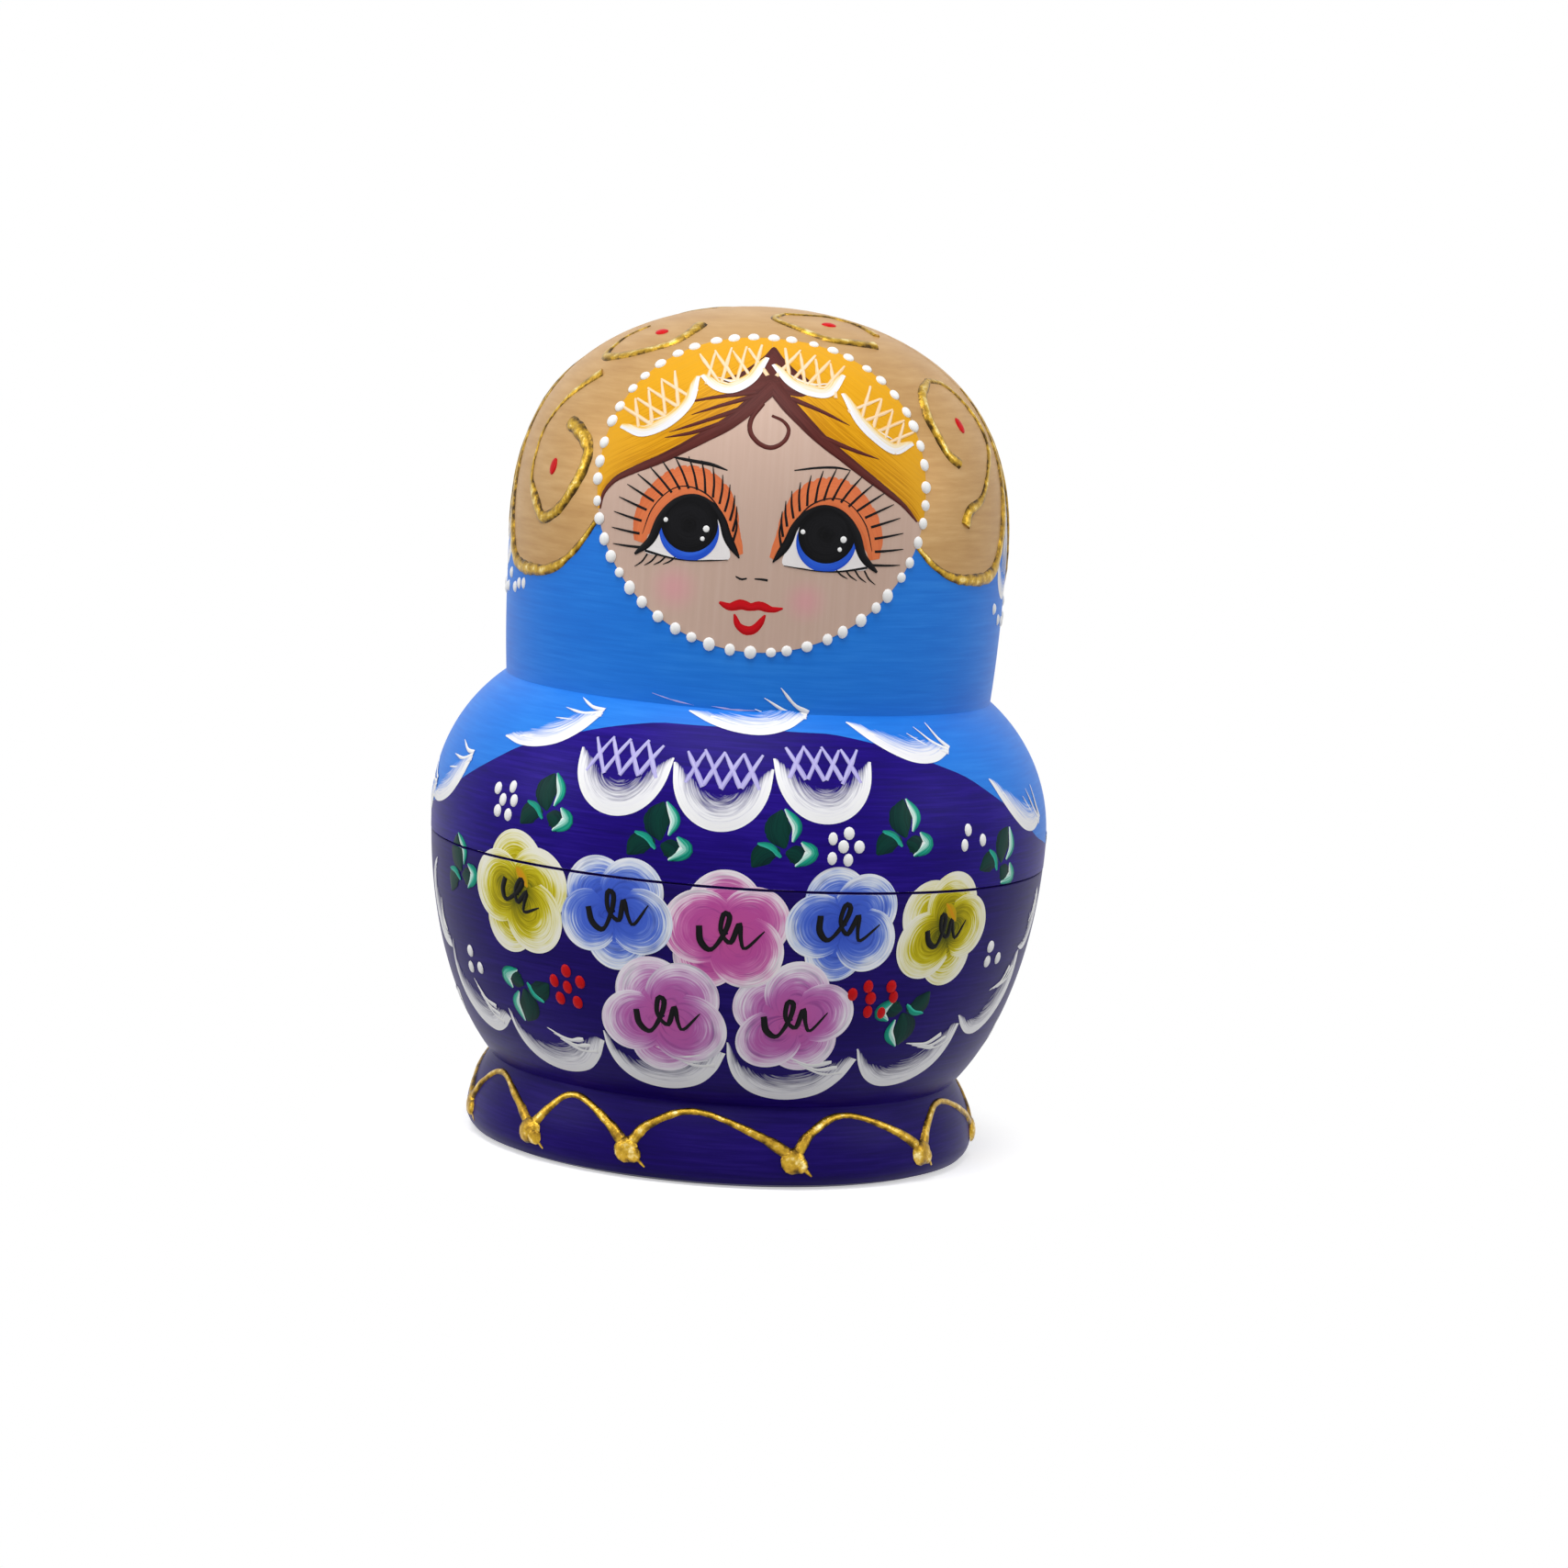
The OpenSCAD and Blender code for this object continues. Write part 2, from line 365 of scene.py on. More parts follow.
def new_finish(name, rough, metal=0.0, gloss=0.08):
    """A new material in FINISH with a Principled shader; returns its tree and the shader."""
    FINISH[name] = bpy.data.materials.new(name)
    tree = empty_tree(FINISH[name])
    shader = add_node(tree, "BsdfPrincipled", {"Roughness": rough, "Metallic": metal,
                      "Specular IOR Level": gloss})
    add_node(tree, "OutputMaterial", {"Surface": shader})
    return tree, shader


def cover(tree, shader, colour, height, ridge_mm, **more):
    """Link a colour to a shader, and a height as ridges of ridge_mm."""
    tree.links.new(colour, shader.inputs["Base Color"])
    ridge = add_node(tree, "Bump", {"Height": height, "Strength": RIDGES, "Distance": ridge_mm * MM, **more})
    tree.links.new(ridge.outputs[0], shader.inputs["Normal"])


def ground_nodes(tree, name):
    """The nodes of a ground colour; returns the sockets of its colour and of its brush lines."""
    ground = GROUNDS[name]
    place = add_node(tree, "TexCoord").outputs["Object"]
    wide, tall = 1 / (ground["wide"] * MM), 1 / (ground["tall"] * MM)
    long_way = add_node(tree, "Mapping", {"Vector": place, "Scale": (wide, wide, tall)})
    lines = add_node(tree, "TexNoise", {"Vector": long_way, "Scale": 1.0, "Detail": 4.0, "Roughness": 0.6})
    cloud = add_node(tree, "TexNoise", {"Vector": place, "Scale": 1 / (CLOUD_MM * MM), "Detail": 2.0})
    mixed = add_node(tree, "Mix", {0: CLOUD_SHARE, 2: lines, 3: cloud})
    tint = add_node(tree, "ValToRGB", {"Fac": mixed},
                    stops=[(0.3 + 0.2 * k, linear(c)) for k, c in enumerate(ground["colours"])])
    return tint.outputs[0], lines.outputs[0]


def ground_finish(name, rough, metal=0.0, ridge_mm=0.02, gloss=0.07):
    tree, shader = new_finish(name, rough, metal, gloss)
    cover(tree, shader, *ground_nodes(tree, name), ridge_mm)


# Violet tempera under varnish: deep, with fine brush lines and a soft sheen
ground_finish("violet_tempera", 0.38)
# The same violet with more pigment, as the lower half has it
ground_finish("deep_violet_tempera", 0.38)
# Azure tempera: clear sky blue, a little uneven where the brush ran dry
ground_finish("azure_tempera", 0.45, gloss=0.18)
# Bronze powder in varnish: dull brownish gold that turns paler towards the light
ground_finish("bronze_powder_paint", 0.42, 0.3, gloss=0.3)
# Bare lime wood as the gouge left it: pale cream with rings of tool marks
ground_finish("turned_lime_wood", 0.6, 0.0, 0.05)
print("ground colours:", ", ".join(FINISH))

# %% Wood inside, paint outside
INSIDE, FACES_DOWN, ABOVE_SEAM = 0.6, -0.95, 2
for node, piece in shells.items():
    n = int(node.split("_")[1])
    s, lift = size(n), base_z(n)
    outside = "deep_violet_tempera" if node.endswith("lower") else "azure_tempera"
    under_hem = "violet_tempera" if node.endswith("upper") else "deep_violet_tempera"
    for finish in (outside, "turned_lime_wood", under_hem):
        piece.data.materials.append(FINISH[finish])
    for face in piece.data.polygons:
        x, y, z = face.center / MM
        height = (z - lift) / s
        inside = math.hypot(x, y) / s < outline(min(max(height, 0.0), DOLL_H)) - INSIDE
        if face.normal.z < FACES_DOWN and height < FOOT_Z or inside and height > FOOT_Z:
            face.material_index = 1
        elif height < SEAM_Z + ABOVE_SEAM:
            face.material_index = 2
print("halves with a ground colour:", len(shells))

# %% [markdown]
# From here on the doll is painted. A brush mark is drawn on a map of the surface: degrees round
# the axis, 0 at the face, and millimetres of way up the outline. From the map it is laid on the
# wood with a little thickness, as thick paint has. The marks are kept as lines and widths, and
# meshes are made from them later, so the same painting can be laid on every doll of the nest, with
# fewer points on the small ones. Making hundreds of strokes with operators would take minutes at
# each run, so their meshes are written directly. A painted texture would be the other way, but the
# strokes would then lose their thickness.

# %% The map of the surface
RAD = math.pi / 180
LINE_Z = np.concatenate([np.linspace(0.0, HEAD_Z, 970), np.array(arc_heights(HEAD_Z, DOLL_H, 400))[1:]])
LINE_R = np.array([outline(z) for z in LINE_Z])
LINE_WAY = np.concatenate([[0.0], np.cumsum(np.hypot(np.diff(LINE_R), np.diff(LINE_Z)))])
OUT_R, OUT_Z = np.gradient(LINE_Z, LINE_WAY), -np.gradient(LINE_R, LINE_WAY)
CROWN = LINE_WAY[-1]
CURVE_STEPS = 12


def radius(way):
    return np.interp(way, LINE_WAY, LINE_R)


def way_up(z):
    return float(np.interp(z, LINE_Z, LINE_WAY))


def body(az, z):
    """A point of the map from degrees and height."""
    return az, way_up(z)


def front(x, z):
    """A point of the map from its place in the front view."""
    return math.asin(max(-1.0, min(1.0, x / outline(z)))) / RAD, way_up(z)


def on_body(points):
    return [body(*p) for p in points]


def on_front(points):
    return [front(*p) for p in points]


def near(centre, across, up, turned=0.0):
    """A point of the map some millimetres across and up from another one, in a turned motif."""
    c, s = math.cos(turned * RAD), math.sin(turned * RAD)
    way = centre[1] + across * s + up * c
    return centre[0] + (across * c - up * s) / (radius(way) * RAD), way


def around(centre, points, turned=0.0, scale=1.0):
    return [near(centre, scale * x, scale * y, turned) for x, y in points]


def lay(az, way, lift):
    """Points of the map laid on the wood, lift millimetres above it."""
    r = np.maximum(radius(way) + lift * np.interp(way, LINE_WAY, OUT_R), 0.0)
    z = np.interp(way, LINE_WAY, LINE_Z) + lift * np.interp(way, LINE_WAY, OUT_Z)
    return np.stack([r * np.sin(az * RAD), -r * np.cos(az * RAD), z], axis=-1)


def curve(points, closed=False):
    """A smooth line through points of the map: shares of its length, degrees, way, and its length."""
    knots = np.array(points, float)
    if closed:
        ring = np.vstack([knots[-1:], knots, knots[:2]])
    else:
        ring = np.vstack([2 * knots[0] - knots[1], knots, 2 * knots[-1] - knots[-2]])
    t = np.linspace(0, 1, CURVE_STEPS, endpoint=False)[:, None]
    a, b, c, d = ring[:-3, None], ring[1:-2, None], ring[2:-1, None], ring[3:, None]
    line = 0.5 * (2 * b + (c - a) * t + (2 * a - 5 * b + 4 * c - d) * t ** 2
                  + (3 * b - a - 3 * c + d) * t ** 3)
    az, way = np.vstack([line.reshape(-1, 2), ring[-2:-1]]).T
    r = radius(way)
    step = np.hypot(np.diff(az) * RAD * (r[1:] + r[:-1]) / 2, np.diff(way))
    length = np.concatenate([[0.0], np.cumsum(step)])
    return length / length[-1], az, way, length[-1]


def level_line(line, way):
    """A line with the degrees of another one, at one way up."""
    return line[0], line[1], np.full(len(line[1]), way), 1.0


def along(line, t):
    return np.interp(t, line[0], line[1]), np.interp(t, line[0], line[2])


print("way from foot to crown in mm:", round(CROWN, 1))

# %% [markdown]
# Three kinds of mark are enough. A stroke follows one line, with a width that swells and tapers. A
# sheet fills the space between two lines, which gives the face, the cap, the hair and each petal.
# A dot is a drop of thick paint: half a ball, modelled once and stamped many times. Every mark is
# a closed little body whose underside is sunk into what it lies on.

# %% Strokes, sheets and dots
marks = []


def stroke(group, finish, points, widths, lift=0.06, rise=0.08, lean=0.0, last=10, bead=False, rough=0.0):
    """A mark along a line, lift millimetres up and rise thick. lean -1 puts all of it left of the
    line; last is the smallest doll that has it; bead makes it half round, for raised gilding; rough
    makes its width uneven."""
    marks.append(dict(kind="stroke", group=group, finish=finish, line=curve(points), widths=widths,
                      lift=lift, rise=rise, lean=lean, last=last, bead=bead, rough=rough))


def sheet(group, finish, edge, other, lift=0.06, rows=8, last=10, flat=False, wide=False):
    """A mark between two lines. flat gives it front-view coordinates, wide marks the large grounds."""
    marks.append(dict(kind="sheet", group=group, finish=finish, edge=edge, other=other, lift=lift,
                      rows=rows, last=last, flat=flat, wide=wide))


def disc(group, finish, ring, centre, lift=0.06, rows=6, last=10, flat=False, wide=False):
    """A sheet from a closed ring to its middle."""
    edge = curve(ring, True)
    middle = (edge[0], np.full(len(edge[0]), centre[0]), np.full(len(edge[0]), centre[1]), 1.0)
    sheet(group, finish, edge, middle, lift, rows, last, flat, wide)


def dot(group, finish, at, across, tall=None, turned=0.0, lift=0.0, rise=0.22, last=10):
    marks.append(dict(kind="dot", group=group, finish=finish, at=at, across=across, tall=tall or across,
                      turned=turned, lift=lift, rise=rise, last=last))


bpy.ops.object.select_all(action="DESELECT")
bpy.ops.mesh.primitive_uv_sphere_add(segments=12, ring_count=8, radius=1.0)
drop = bpy.context.object
bpy.ops.object.mode_set(mode="EDIT")
bpy.ops.mesh.select_all(action="SELECT")
bpy.ops.mesh.bisect(plane_co=(0, 0, 0), plane_no=(0, 0, 1), use_fill=True, clear_inner=True)
bpy.ops.object.mode_set(mode="OBJECT")
DROP_POINTS = np.array([v.co for v in drop.data.vertices])
DROP_QUADS = np.array([list(f.vertices) for f in drop.data.polygons if len(f.vertices) == 4])
DROP_ENDS = [list(f.vertices) for f in drop.data.polygons if len(f.vertices) != 4]
bpy.data.objects.remove(drop)
print("faces of one dot:", len(DROP_QUADS) + len(DROP_ENDS))

# %% [markdown]
# Each kind of mark has a function that returns its points, its four-cornered faces, its other
# faces and two maps: shares of the mark, and real millimetres. Every mark's maps start somewhere
# else, so that no two marks have the same streaks. A sheet whose lines run the other way round
# would come out inside out, so its faces are turned over.

# %% Meshes of the three kinds
SUNK, SHEET_T = 0.03, 0.05
LUMP_GAP, LUMP = 1.1, 1.6
WIDE_GAP = 2.0
SHIFT = np.array((53.0, 17.0))


def swell(t, widths):
    """Width along a stroke: round where it is widest and quick to taper, as a brush leaves it."""
    place = np.minimum(t * (len(widths) - 1), len(widths) - 1 - 1e-9)
    k = place.astype(int)
    a, b, u = np.array(widths)[k], np.array(widths)[k + 1], (place - k) * math.pi / 2
    return np.where(b > a, a + (b - a) * np.sin(u), b + (a - b) * np.cos(u))


def grid_faces(spot):
    """The four-cornered faces of a grid of point numbers."""
    return np.stack([spot[:-1, :-1], spot[1:, :-1], spot[1:, 1:], spot[:-1, 1:]], -1).reshape(-1, 4)


def stroke_mesh(mark, seed, spacing, across, low, high, thin):
    line, length = mark["line"], mark["line"][3]
    count = max(4, math.ceil(length / spacing))
    t, v = np.linspace(0, 1, count + 1), np.linspace(-1, 1, across)
    az, way = along(line, t)
    width = swell(t, mark["widths"])
    if mark["rough"]:
        lumps = np.random.default_rng(seed).uniform(-LUMP, LUMP, math.ceil(length / LUMP_GAP) + 2)
        width = width * (1 + mark["rough"] * np.interp(t * length / LUMP_GAP, np.arange(len(lumps)), lumps))
    r = np.maximum(radius(way), 0.5)
    go_az, go_way = np.gradient(az) * RAD * r, np.gradient(way)
    pace = np.maximum(np.hypot(go_az, go_way), 1e-9)
    offset = (v[None] - mark["lean"]) * width[:, None] / 2
    laid_az = az[:, None] - offset * (go_way / pace / (r * RAD))[:, None]
    laid_way = np.clip(way[:, None] + offset * (go_az / pace)[:, None], low, high)
    crest = np.sqrt(1 - v ** 2) if mark["bead"] else 1 - v ** 2
    tall = mark["rise"] * (width / max(mark["widths"])) ** (1.0 if mark["bead"] else 0.5)
    lift = mark["lift"] - SUNK + (thin * tall[:, None] + SUNK) * crest[None]
    points = lay(laid_az, laid_way, lift).reshape(-1, 3)
    spot = np.arange((count + 1) * across).reshape(count + 1, across)
    under = np.stack([spot[:-1, 0], spot[:-1, -1], spot[1:, -1], spot[1:, 0]], -1)
    ends = [spot[0].tolist(), spot[-1, ::-1].tolist()]
    whole = np.stack([np.repeat(t, across), np.tile((v + 1) / 2, count + 1)], -1)
    real = np.stack([np.repeat(t * length, across), offset.reshape(-1)], -1) + SHIFT * seed
    return points, np.vstack([grid_faces(spot), under]), ends, whole, real


def sheet_mesh(mark, seed, spacing, across, low, high, thin):
    length = max(mark["edge"][3], mark["other"][3])
    cols = math.ceil(length / (WIDE_GAP if mark["wide"] else spacing))
    rows = mark["rows"] if mark["wide"] or across > 4 else max(2, mark["rows"] // 2)
    t, v = np.linspace(0, 1, cols + 1), np.linspace(0, 1, rows + 1)
    (az0, way0), (az1, way1) = along(mark["edge"], t), along(mark["other"], t)
    az = az0[:, None] + (az1 - az0)[:, None] * v[None]
    way = np.clip(way0[:, None] + (way1 - way0)[:, None] * v[None], low, high)
    upper = lay(az, way, np.full_like(az, mark["lift"]))
    under = lay(az, way, np.full_like(az, mark["lift"] - SHEET_T))
    closed = np.allclose(upper[0], upper[-1], atol=1e-3)
    if closed:
        upper[-1], under[-1] = upper[0], under[0]
    spot = np.arange((cols + 1) * (rows + 1)).reshape(cols + 1, rows + 1)
    half = spot.size
    quads = [grid_faces(spot), grid_faces(spot)[:, ::-1] + half]
    for side in (spot[:, 0], spot[::-1, -1]) + (() if closed else (spot[0, ::-1], spot[-1, :])):
        quads.append(np.stack([side[:-1] + half, side[1:] + half, side[1:], side[:-1]], -1))
    (az_t, az_v), (way_t, way_v) = np.gradient(az), np.gradient(way)
    if (az_t * way_v - az_v * way_t).sum() < 0:
        quads = [q[:, ::-1] for q in quads]
    points = np.vstack([upper.reshape(-1, 3), under.reshape(-1, 3)])
    whole = np.stack([np.repeat(t, rows + 1), np.tile(v, cols + 1)], -1)
    span = np.hypot((az1 - az0) * RAD * radius(way0), way1 - way0)
    real = np.stack([np.repeat(t * length, rows + 1), np.outer(span, v).reshape(-1)], -1) + SHIFT * seed
    if mark["flat"]:
        real = points[:half, [0, 2]]
    return points, np.vstack(quads), [], np.vstack([whole, whole]), np.vstack([real, real])


def dot_mesh(mark, seed, spacing, across, low, high, thin):
    az, way = mark["at"]
    home = lay(np.array(az), np.array(way), mark["lift"] - SUNK)
    out = lay(np.array(az), np.array(way), 1.0) - lay(np.array(az), np.array(way), 0.0)
    east = np.array([math.cos(az * RAD), math.sin(az * RAD), 0.0])
    north = np.cross(out, east)
    c, s = math.cos(mark["turned"] * RAD), math.sin(mark["turned"] * RAD)
    x, y = DROP_POINTS[:, 0] * mark["across"] / 2, DROP_POINTS[:, 1] * mark["tall"] / 2
    tall = DROP_POINTS[:, 2] * (thin * mark["rise"] * mark["across"] + SUNK)
    points = home + np.outer(x * c - y * s, east) + np.outer(x * s + y * c, north) + np.outer(tall, out)
    whole = (DROP_POINTS[:, :2] + 1) / 2
    return points, DROP_QUADS, DROP_ENDS, whole, whole * mark["across"] + SHIFT[1] * seed


MESH_OF = {"stroke": stroke_mesh, "sheet": sheet_mesh, "dot": dot_mesh}
print("kinds of mark:", ", ".join(MESH_OF))

# %% [markdown]
# The colours of the painting. A loaded brush gives solid colour at one edge of a stroke and runs
# dry towards the other, in streaks along the stroke. So each mark carries two UV maps: one has
# shares of its length and width, for the fading, and the other has real millimetres, for streaks
# of bristle width. Where a white stroke runs dry, the ground colour has to come through, and it is
# mixed in from the same nodes as the ground itself. Real bristles are near 0.1 mm; the streaks are
# drawn three times as coarse, so that they show.

# %% The brush
BRISTLE, PATCH_MM = 0.3, 7
DRY_LONG, DRY_WIDE, DRY_FROM, DRY_TO = 11, 1.1, 0.54, 0.7


def mark_shares(tree):
    """The sockets of the share along a mark and of the share across it."""
    shares = add_node(tree, "UVMap", uv_map="stroke")
    split = add_node(tree, "SeparateXYZ", {0: shares})
    return split.outputs["X"], split.outputs["Y"]


def mark_noise(tree, long_mm, wide_mm, detail, **more):
    """Noise in real millimetres that is stretched along a mark."""
    real = add_node(tree, "UVMap", uv_map="bristle")
    scaled = add_node(tree, "Mapping", {"Vector": real, "Scale": (1 / long_mm, 1 / wide_mm, 1)})
    return add_node(tree, "TexNoise", {"Vector": scaled, "Scale": 1.0, "Detail": detail, **more})


def brush_paint(name, stops, fade=0.5, ground=None, dry=0.0, ends=0.0, rough=0.4, long_mm=8.0, uneven=0.0):
    """Paint from a brush. stops are colours over the share across the mark, and fade is how far the
    streaks shift that share. ends shifts it at both ends of the mark, and uneven in patches. With a
    ground, the paint thins out to it where a stop is None, or in dry streaks of the strength dry."""
    tree, shader = new_finish(name, rough)
    length, place = mark_shares(tree)
    streaks = mark_noise(tree, long_mm, BRISTLE, 3.0, Roughness=0.6)
    shift = add_node(tree, "MapRange", {"Value": streaks, "From Min": 0.25, "From Max": 0.75,
                     "To Min": -fade, "To Max": fade})
    place = add_node(tree, "Math", {0: place, 1: shift}, operation="ADD")
    if ends:
        middle = add_node(tree, "MapRange", {"Value": length, "To Min": -1.0, "To Max": 1.0})
        outer = add_node(tree, "Math", {0: middle, 1: 4.0}, operation="POWER")
        place = add_node(tree, "Math", {0: outer, 1: ends, 2: place}, operation="MULTIPLY_ADD")
    if uneven:
        where = add_node(tree, "TexCoord").outputs["Object"]
        patches = add_node(tree, "TexNoise", {"Vector": where, "Scale": 1 / (PATCH_MM * MM)})
        shift = add_node(tree, "MapRange", {"Value": patches, "From Min": 0.3, "From Max": 0.7,
                         "To Min": -uneven, "To Max": uneven})
        place = add_node(tree, "Math", {0: place, 1: shift}, operation="ADD")
    colour = add_node(tree, "ValToRGB", {"Fac": place},
                      stops=[(at, linear(c or stops[0][1])) for at, c in stops]).outputs[0]
    if ground:
        if dry:
            gaps = mark_noise(tree, DRY_LONG, DRY_WIDE, 4.0)
            solid = add_node(tree, "MapRange", {"Value": gaps, "From Min": DRY_FROM, "From Max": DRY_TO,
                             "To Min": 1.0, "To Max": 1.0 - dry})
        else:
            solid = add_node(tree, "ValToRGB", {"Fac": place},
                             stops=[(at, (1, 1, 1, 1) if c else (0, 0, 0, 1)) for at, c in stops])
        bare = ground_nodes(tree, ground)[0]
        colour = add_node(tree, "Mix", {0: solid, 6: bare, 7: colour}, data_type="RGBA").outputs[2]
    cover(tree, shader, colour, streaks, 0.04)


# White gouache: chalky, with fine grey lines where the bristles parted
brush_paint("white_gouache", [(0.0, "#f4f4f2"), (0.5, "#eeeeee"), (1.0, "#dcdce6")], 0.3)
# Pearl white: thicker and smoother, so that each dot catches the light
brush_paint("pearl_white", [(0.0, "#f6f6f4"), (1.0, "#ececec")], 0.1, rough=0.3)
# Lace: white at its outer edge, running dry inwards over its ground
for ground in ("violet", "deep_violet", "azure"):
    brush_paint(f"lace_over_{ground}", [(0.0, "#f6f6f6"), (0.34, "#f0f0f4"), (0.95, None)], 0.3,
                f"{ground}_tempera")
# Lattices: thin white that takes on some of the violet or the yellow below it
brush_paint("lattice_white", [(0.0, "#9f98d8"), (0.5, "#c2bdea"), (1.0, "#a39cda")], 0.4)
brush_paint("hair_lattice_white", [(0.0, "#eec283"), (0.5, "#f0dcc0"), (1.0, "#ecbd78")], 0.4)
brush_paint("hair_lace_white", [(0.0, "#f2f2f4"), (0.35, "#ecebf0"), (0.7, "#ecdcb8"), (1.0, "#e9b848")],
            0.3)
# Petals: a brush with white on one side and colour on the other, turned round the flower; streaks
# of the violet ground show where it ran dry
brush_paint("pink_petal", [(0.0, "#f5ecf2"), (0.12, "#e8bfda"), (0.22, "#d274b4"), (0.4, "#c052a0"),
            (1.0, "#c9559c")], 0.14, "deep_violet_tempera", dry=0.3, ends=0.3, uneven=0.13)
brush_paint("lilac_petal", [(0.0, "#f3ecf5"), (0.16, "#e4c9e4"), (0.3, "#c988c4"), (0.5, "#bb62ae"),
            (1.0, "#c25ca6")], 0.17, "deep_violet_tempera", dry=0.4, ends=0.3, uneven=0.13)
brush_paint("blue_petal", [(0.0, "#f0f3fa"), (0.14, "#ccd8f2"), (0.26, "#708ce0"), (0.45, "#4767d4"),
            (1.0, "#3755c6")], 0.17, "deep_violet_tempera", dry=0.35, ends=0.25, uneven=0.14)
brush_paint("yellow_petal", [(0.0, "#f4f2e2"), (0.18, "#ece8b8"), (0.32, "#d2c628"), (0.5, "#b4a40e"),
            (0.72, "#74700c"), (1.0, "#3c420a")], 0.22, ends=0.2, uneven=0.12)
# A touch of orange on the yellow petals
brush_paint("amber_touch", [(0.0, "#b4a40e"), (0.5, "#d89018"), (1.0, "#b4a40e")], 0.3)
# Leaves: dark green, with an edge that goes from white to sea green
brush_paint("leaf_green", [(0.0, "#032e28"), (0.5, "#053a33"), (1.0, "#022528")], 0.4)
brush_paint("leaf_edge", [(0.0, "#eef5f2"), (0.3, "#b4e4d8"), (0.65, "#1fa68c"), (1.0, "#0a6a5c")], 0.25)
brush_paint("leaf_teal", [(0.0, "#49c8b4"), (0.5, "#1fa68c"), (1.0, "#0c6e60")], 0.3)
# Reds: bright and a little glossy on the berries, softer on the lips
brush_paint("berry_red", [(0.0, "#d3161c"), (1.0, "#b80f14")], 0.2, rough=0.3)
brush_paint("lip_red", [(0.0, "#b80c14"), (0.5, "#cc1420"), (1.0, "#b80c14")], 0.3)
# Lines and eyes: enamel black, warm brown, apricot shadow, blue iris and an off-white that isn't stark
brush_paint("black_enamel", [(0.0, "#0b0b0d"), (0.5, "#17171a"), (1.0, "#0b0b0d")], 0.3, rough=0.35)
brush_paint("brown_tempera", [(0.0, "#4a1f1c"), (0.5, "#5f2c28"), (1.0, "#4f2420")], 0.5)
brush_paint("apricot_shadow", [(0.0, "#dc7448"), (0.5, "#e27c4c"), (1.0, "#d66e42")], 0.5, rough=0.5)
brush_paint("iris_blue", [(0.0, "#2450c8"), (0.4, "#3a70ea"), (1.0, "#2f62e0")], 0.2)
brush_paint("eye_white", [(0.0, "#efebea"), (1.0, "#e2dcdc")], 0.3)
# Corn yellow hair: warm, with strands a little lighter and darker that fan out from the parting
brush_paint("corn_yellow_hair", [(0.0, "#c3830b"), (0.3, "#d99a14"), (0.7, "#e2a41c"), (1.0, "#dca022")],
            0.6, long_mm=14.0)
print("colours of the brush:", len(FINISH))

# %% [markdown]
# Two finishes need their own nodes. The face is bare wood under varnish, with pale upright grain
# and two soft pink cheeks; its UV map holds the front view in millimetres, so a distance from a
# cheek's middle gives the blush. The gilding is thick paste covered with metal leaf, crumpled every
# millimetre or two and finely grained. Its colour also holds painted light: a painted highlight along
# the crest, and painted shade on the flanks and in the creases.

# %% Face and gilding
CHEEKS = ((-12.8, 95.8, 5.0), (8.1, 95.1, 4.4))
FIBRE_WIDE, FIBRE_LONG, BLUSH = 0.7, 22.0, 0.65
CRUMPLE_MM, GRAIN_MM = 1.6, 0.4

# Lime wood of the face: warm and pale under varnish, with faint upright fibres
tree, shader = new_finish("varnished_lime_face", 0.4)
view = add_node(tree, "UVMap", uv_map="bristle")
fibres = mark_noise(tree, FIBRE_WIDE, FIBRE_LONG, 4.0)
wood = [(0.25, linear("#c6a999")), (0.5, linear("#c9ac9c")), (0.75, linear("#ccb1a2"))]
colour = add_node(tree, "ValToRGB", {"Fac": fibres}, stops=wood).outputs[0]
for x, z, reach in CHEEKS:
    gap = add_node(tree, "VectorMath", {0: view, 1: (x, z, 0.0)}, operation="DISTANCE")
    blush = add_node(tree, "MapRange", {"Value": gap.outputs["Value"], "From Min": 0.0, "From Max": reach,
                     "To Min": BLUSH, "To Max": 0.0}, interpolation_type="SMOOTHSTEP")
    colour = add_node(tree, "Mix", {0: blush, 6: colour, 7: linear("#dc9aa2")}, data_type="RGBA").outputs[2]
tree.links.new(colour, shader.inputs["Base Color"])

# Gilded relief: crumpled metal leaf, with a painted highlight on the crest and painted shade on the flanks
# and in the creases
tree, shader = new_finish("gilded_relief", 0.3, 0.75, 0.5)
over = mark_shares(tree)[1]
real = add_node(tree, "TexCoord").outputs["Object"]
crumple = add_node(tree, "TexNoise", {"Vector": real, "Scale": 1 / (CRUMPLE_MM * MM), "Detail": 4.0,
                   "Roughness": 0.6})
grains = add_node(tree, "TexNoise", {"Vector": real, "Scale": 1 / (GRAIN_MM * MM)})
# Painted light: the colour is lighter along the crest of the bead and darker towards its flanks, as painted
# shade
crest = add_node(tree, "Math", {0: over, 1: 0.5}, operation="SUBTRACT")
flank = add_node(tree, "Math", {0: crest}, operation="ABSOLUTE")
painted_flank_shade = add_node(tree, "MapRange", {"Value": flank, "From Min": 0.15, "From Max": 0.5, "To Min": 0.12,
                "To Max": -0.2})
crumple_and_painted_shade = add_node(tree, "Math", {0: crumple, 1: painted_flank_shade}, operation="ADD")
# Colour stops run from painted shade in the creases, through gold, to a pale painted highlight
gold = add_node(tree, "ValToRGB", {"Fac": crumple_and_painted_shade},
                stops=[(0.28, linear("#3f2b05")), (0.45, linear("#96721a")), (0.64, linear("#c79f2c")),
                       (0.82, linear("#f6e4a0"))])
leaf = add_node(tree, "Bump", {"Height": grains, "Strength": 0.5, "Distance": 0.12 * MM})
cover(tree, shader, gold.outputs[0], crumple, 0.18, Normal=leaf)
print("finishes:", len(FINISH))

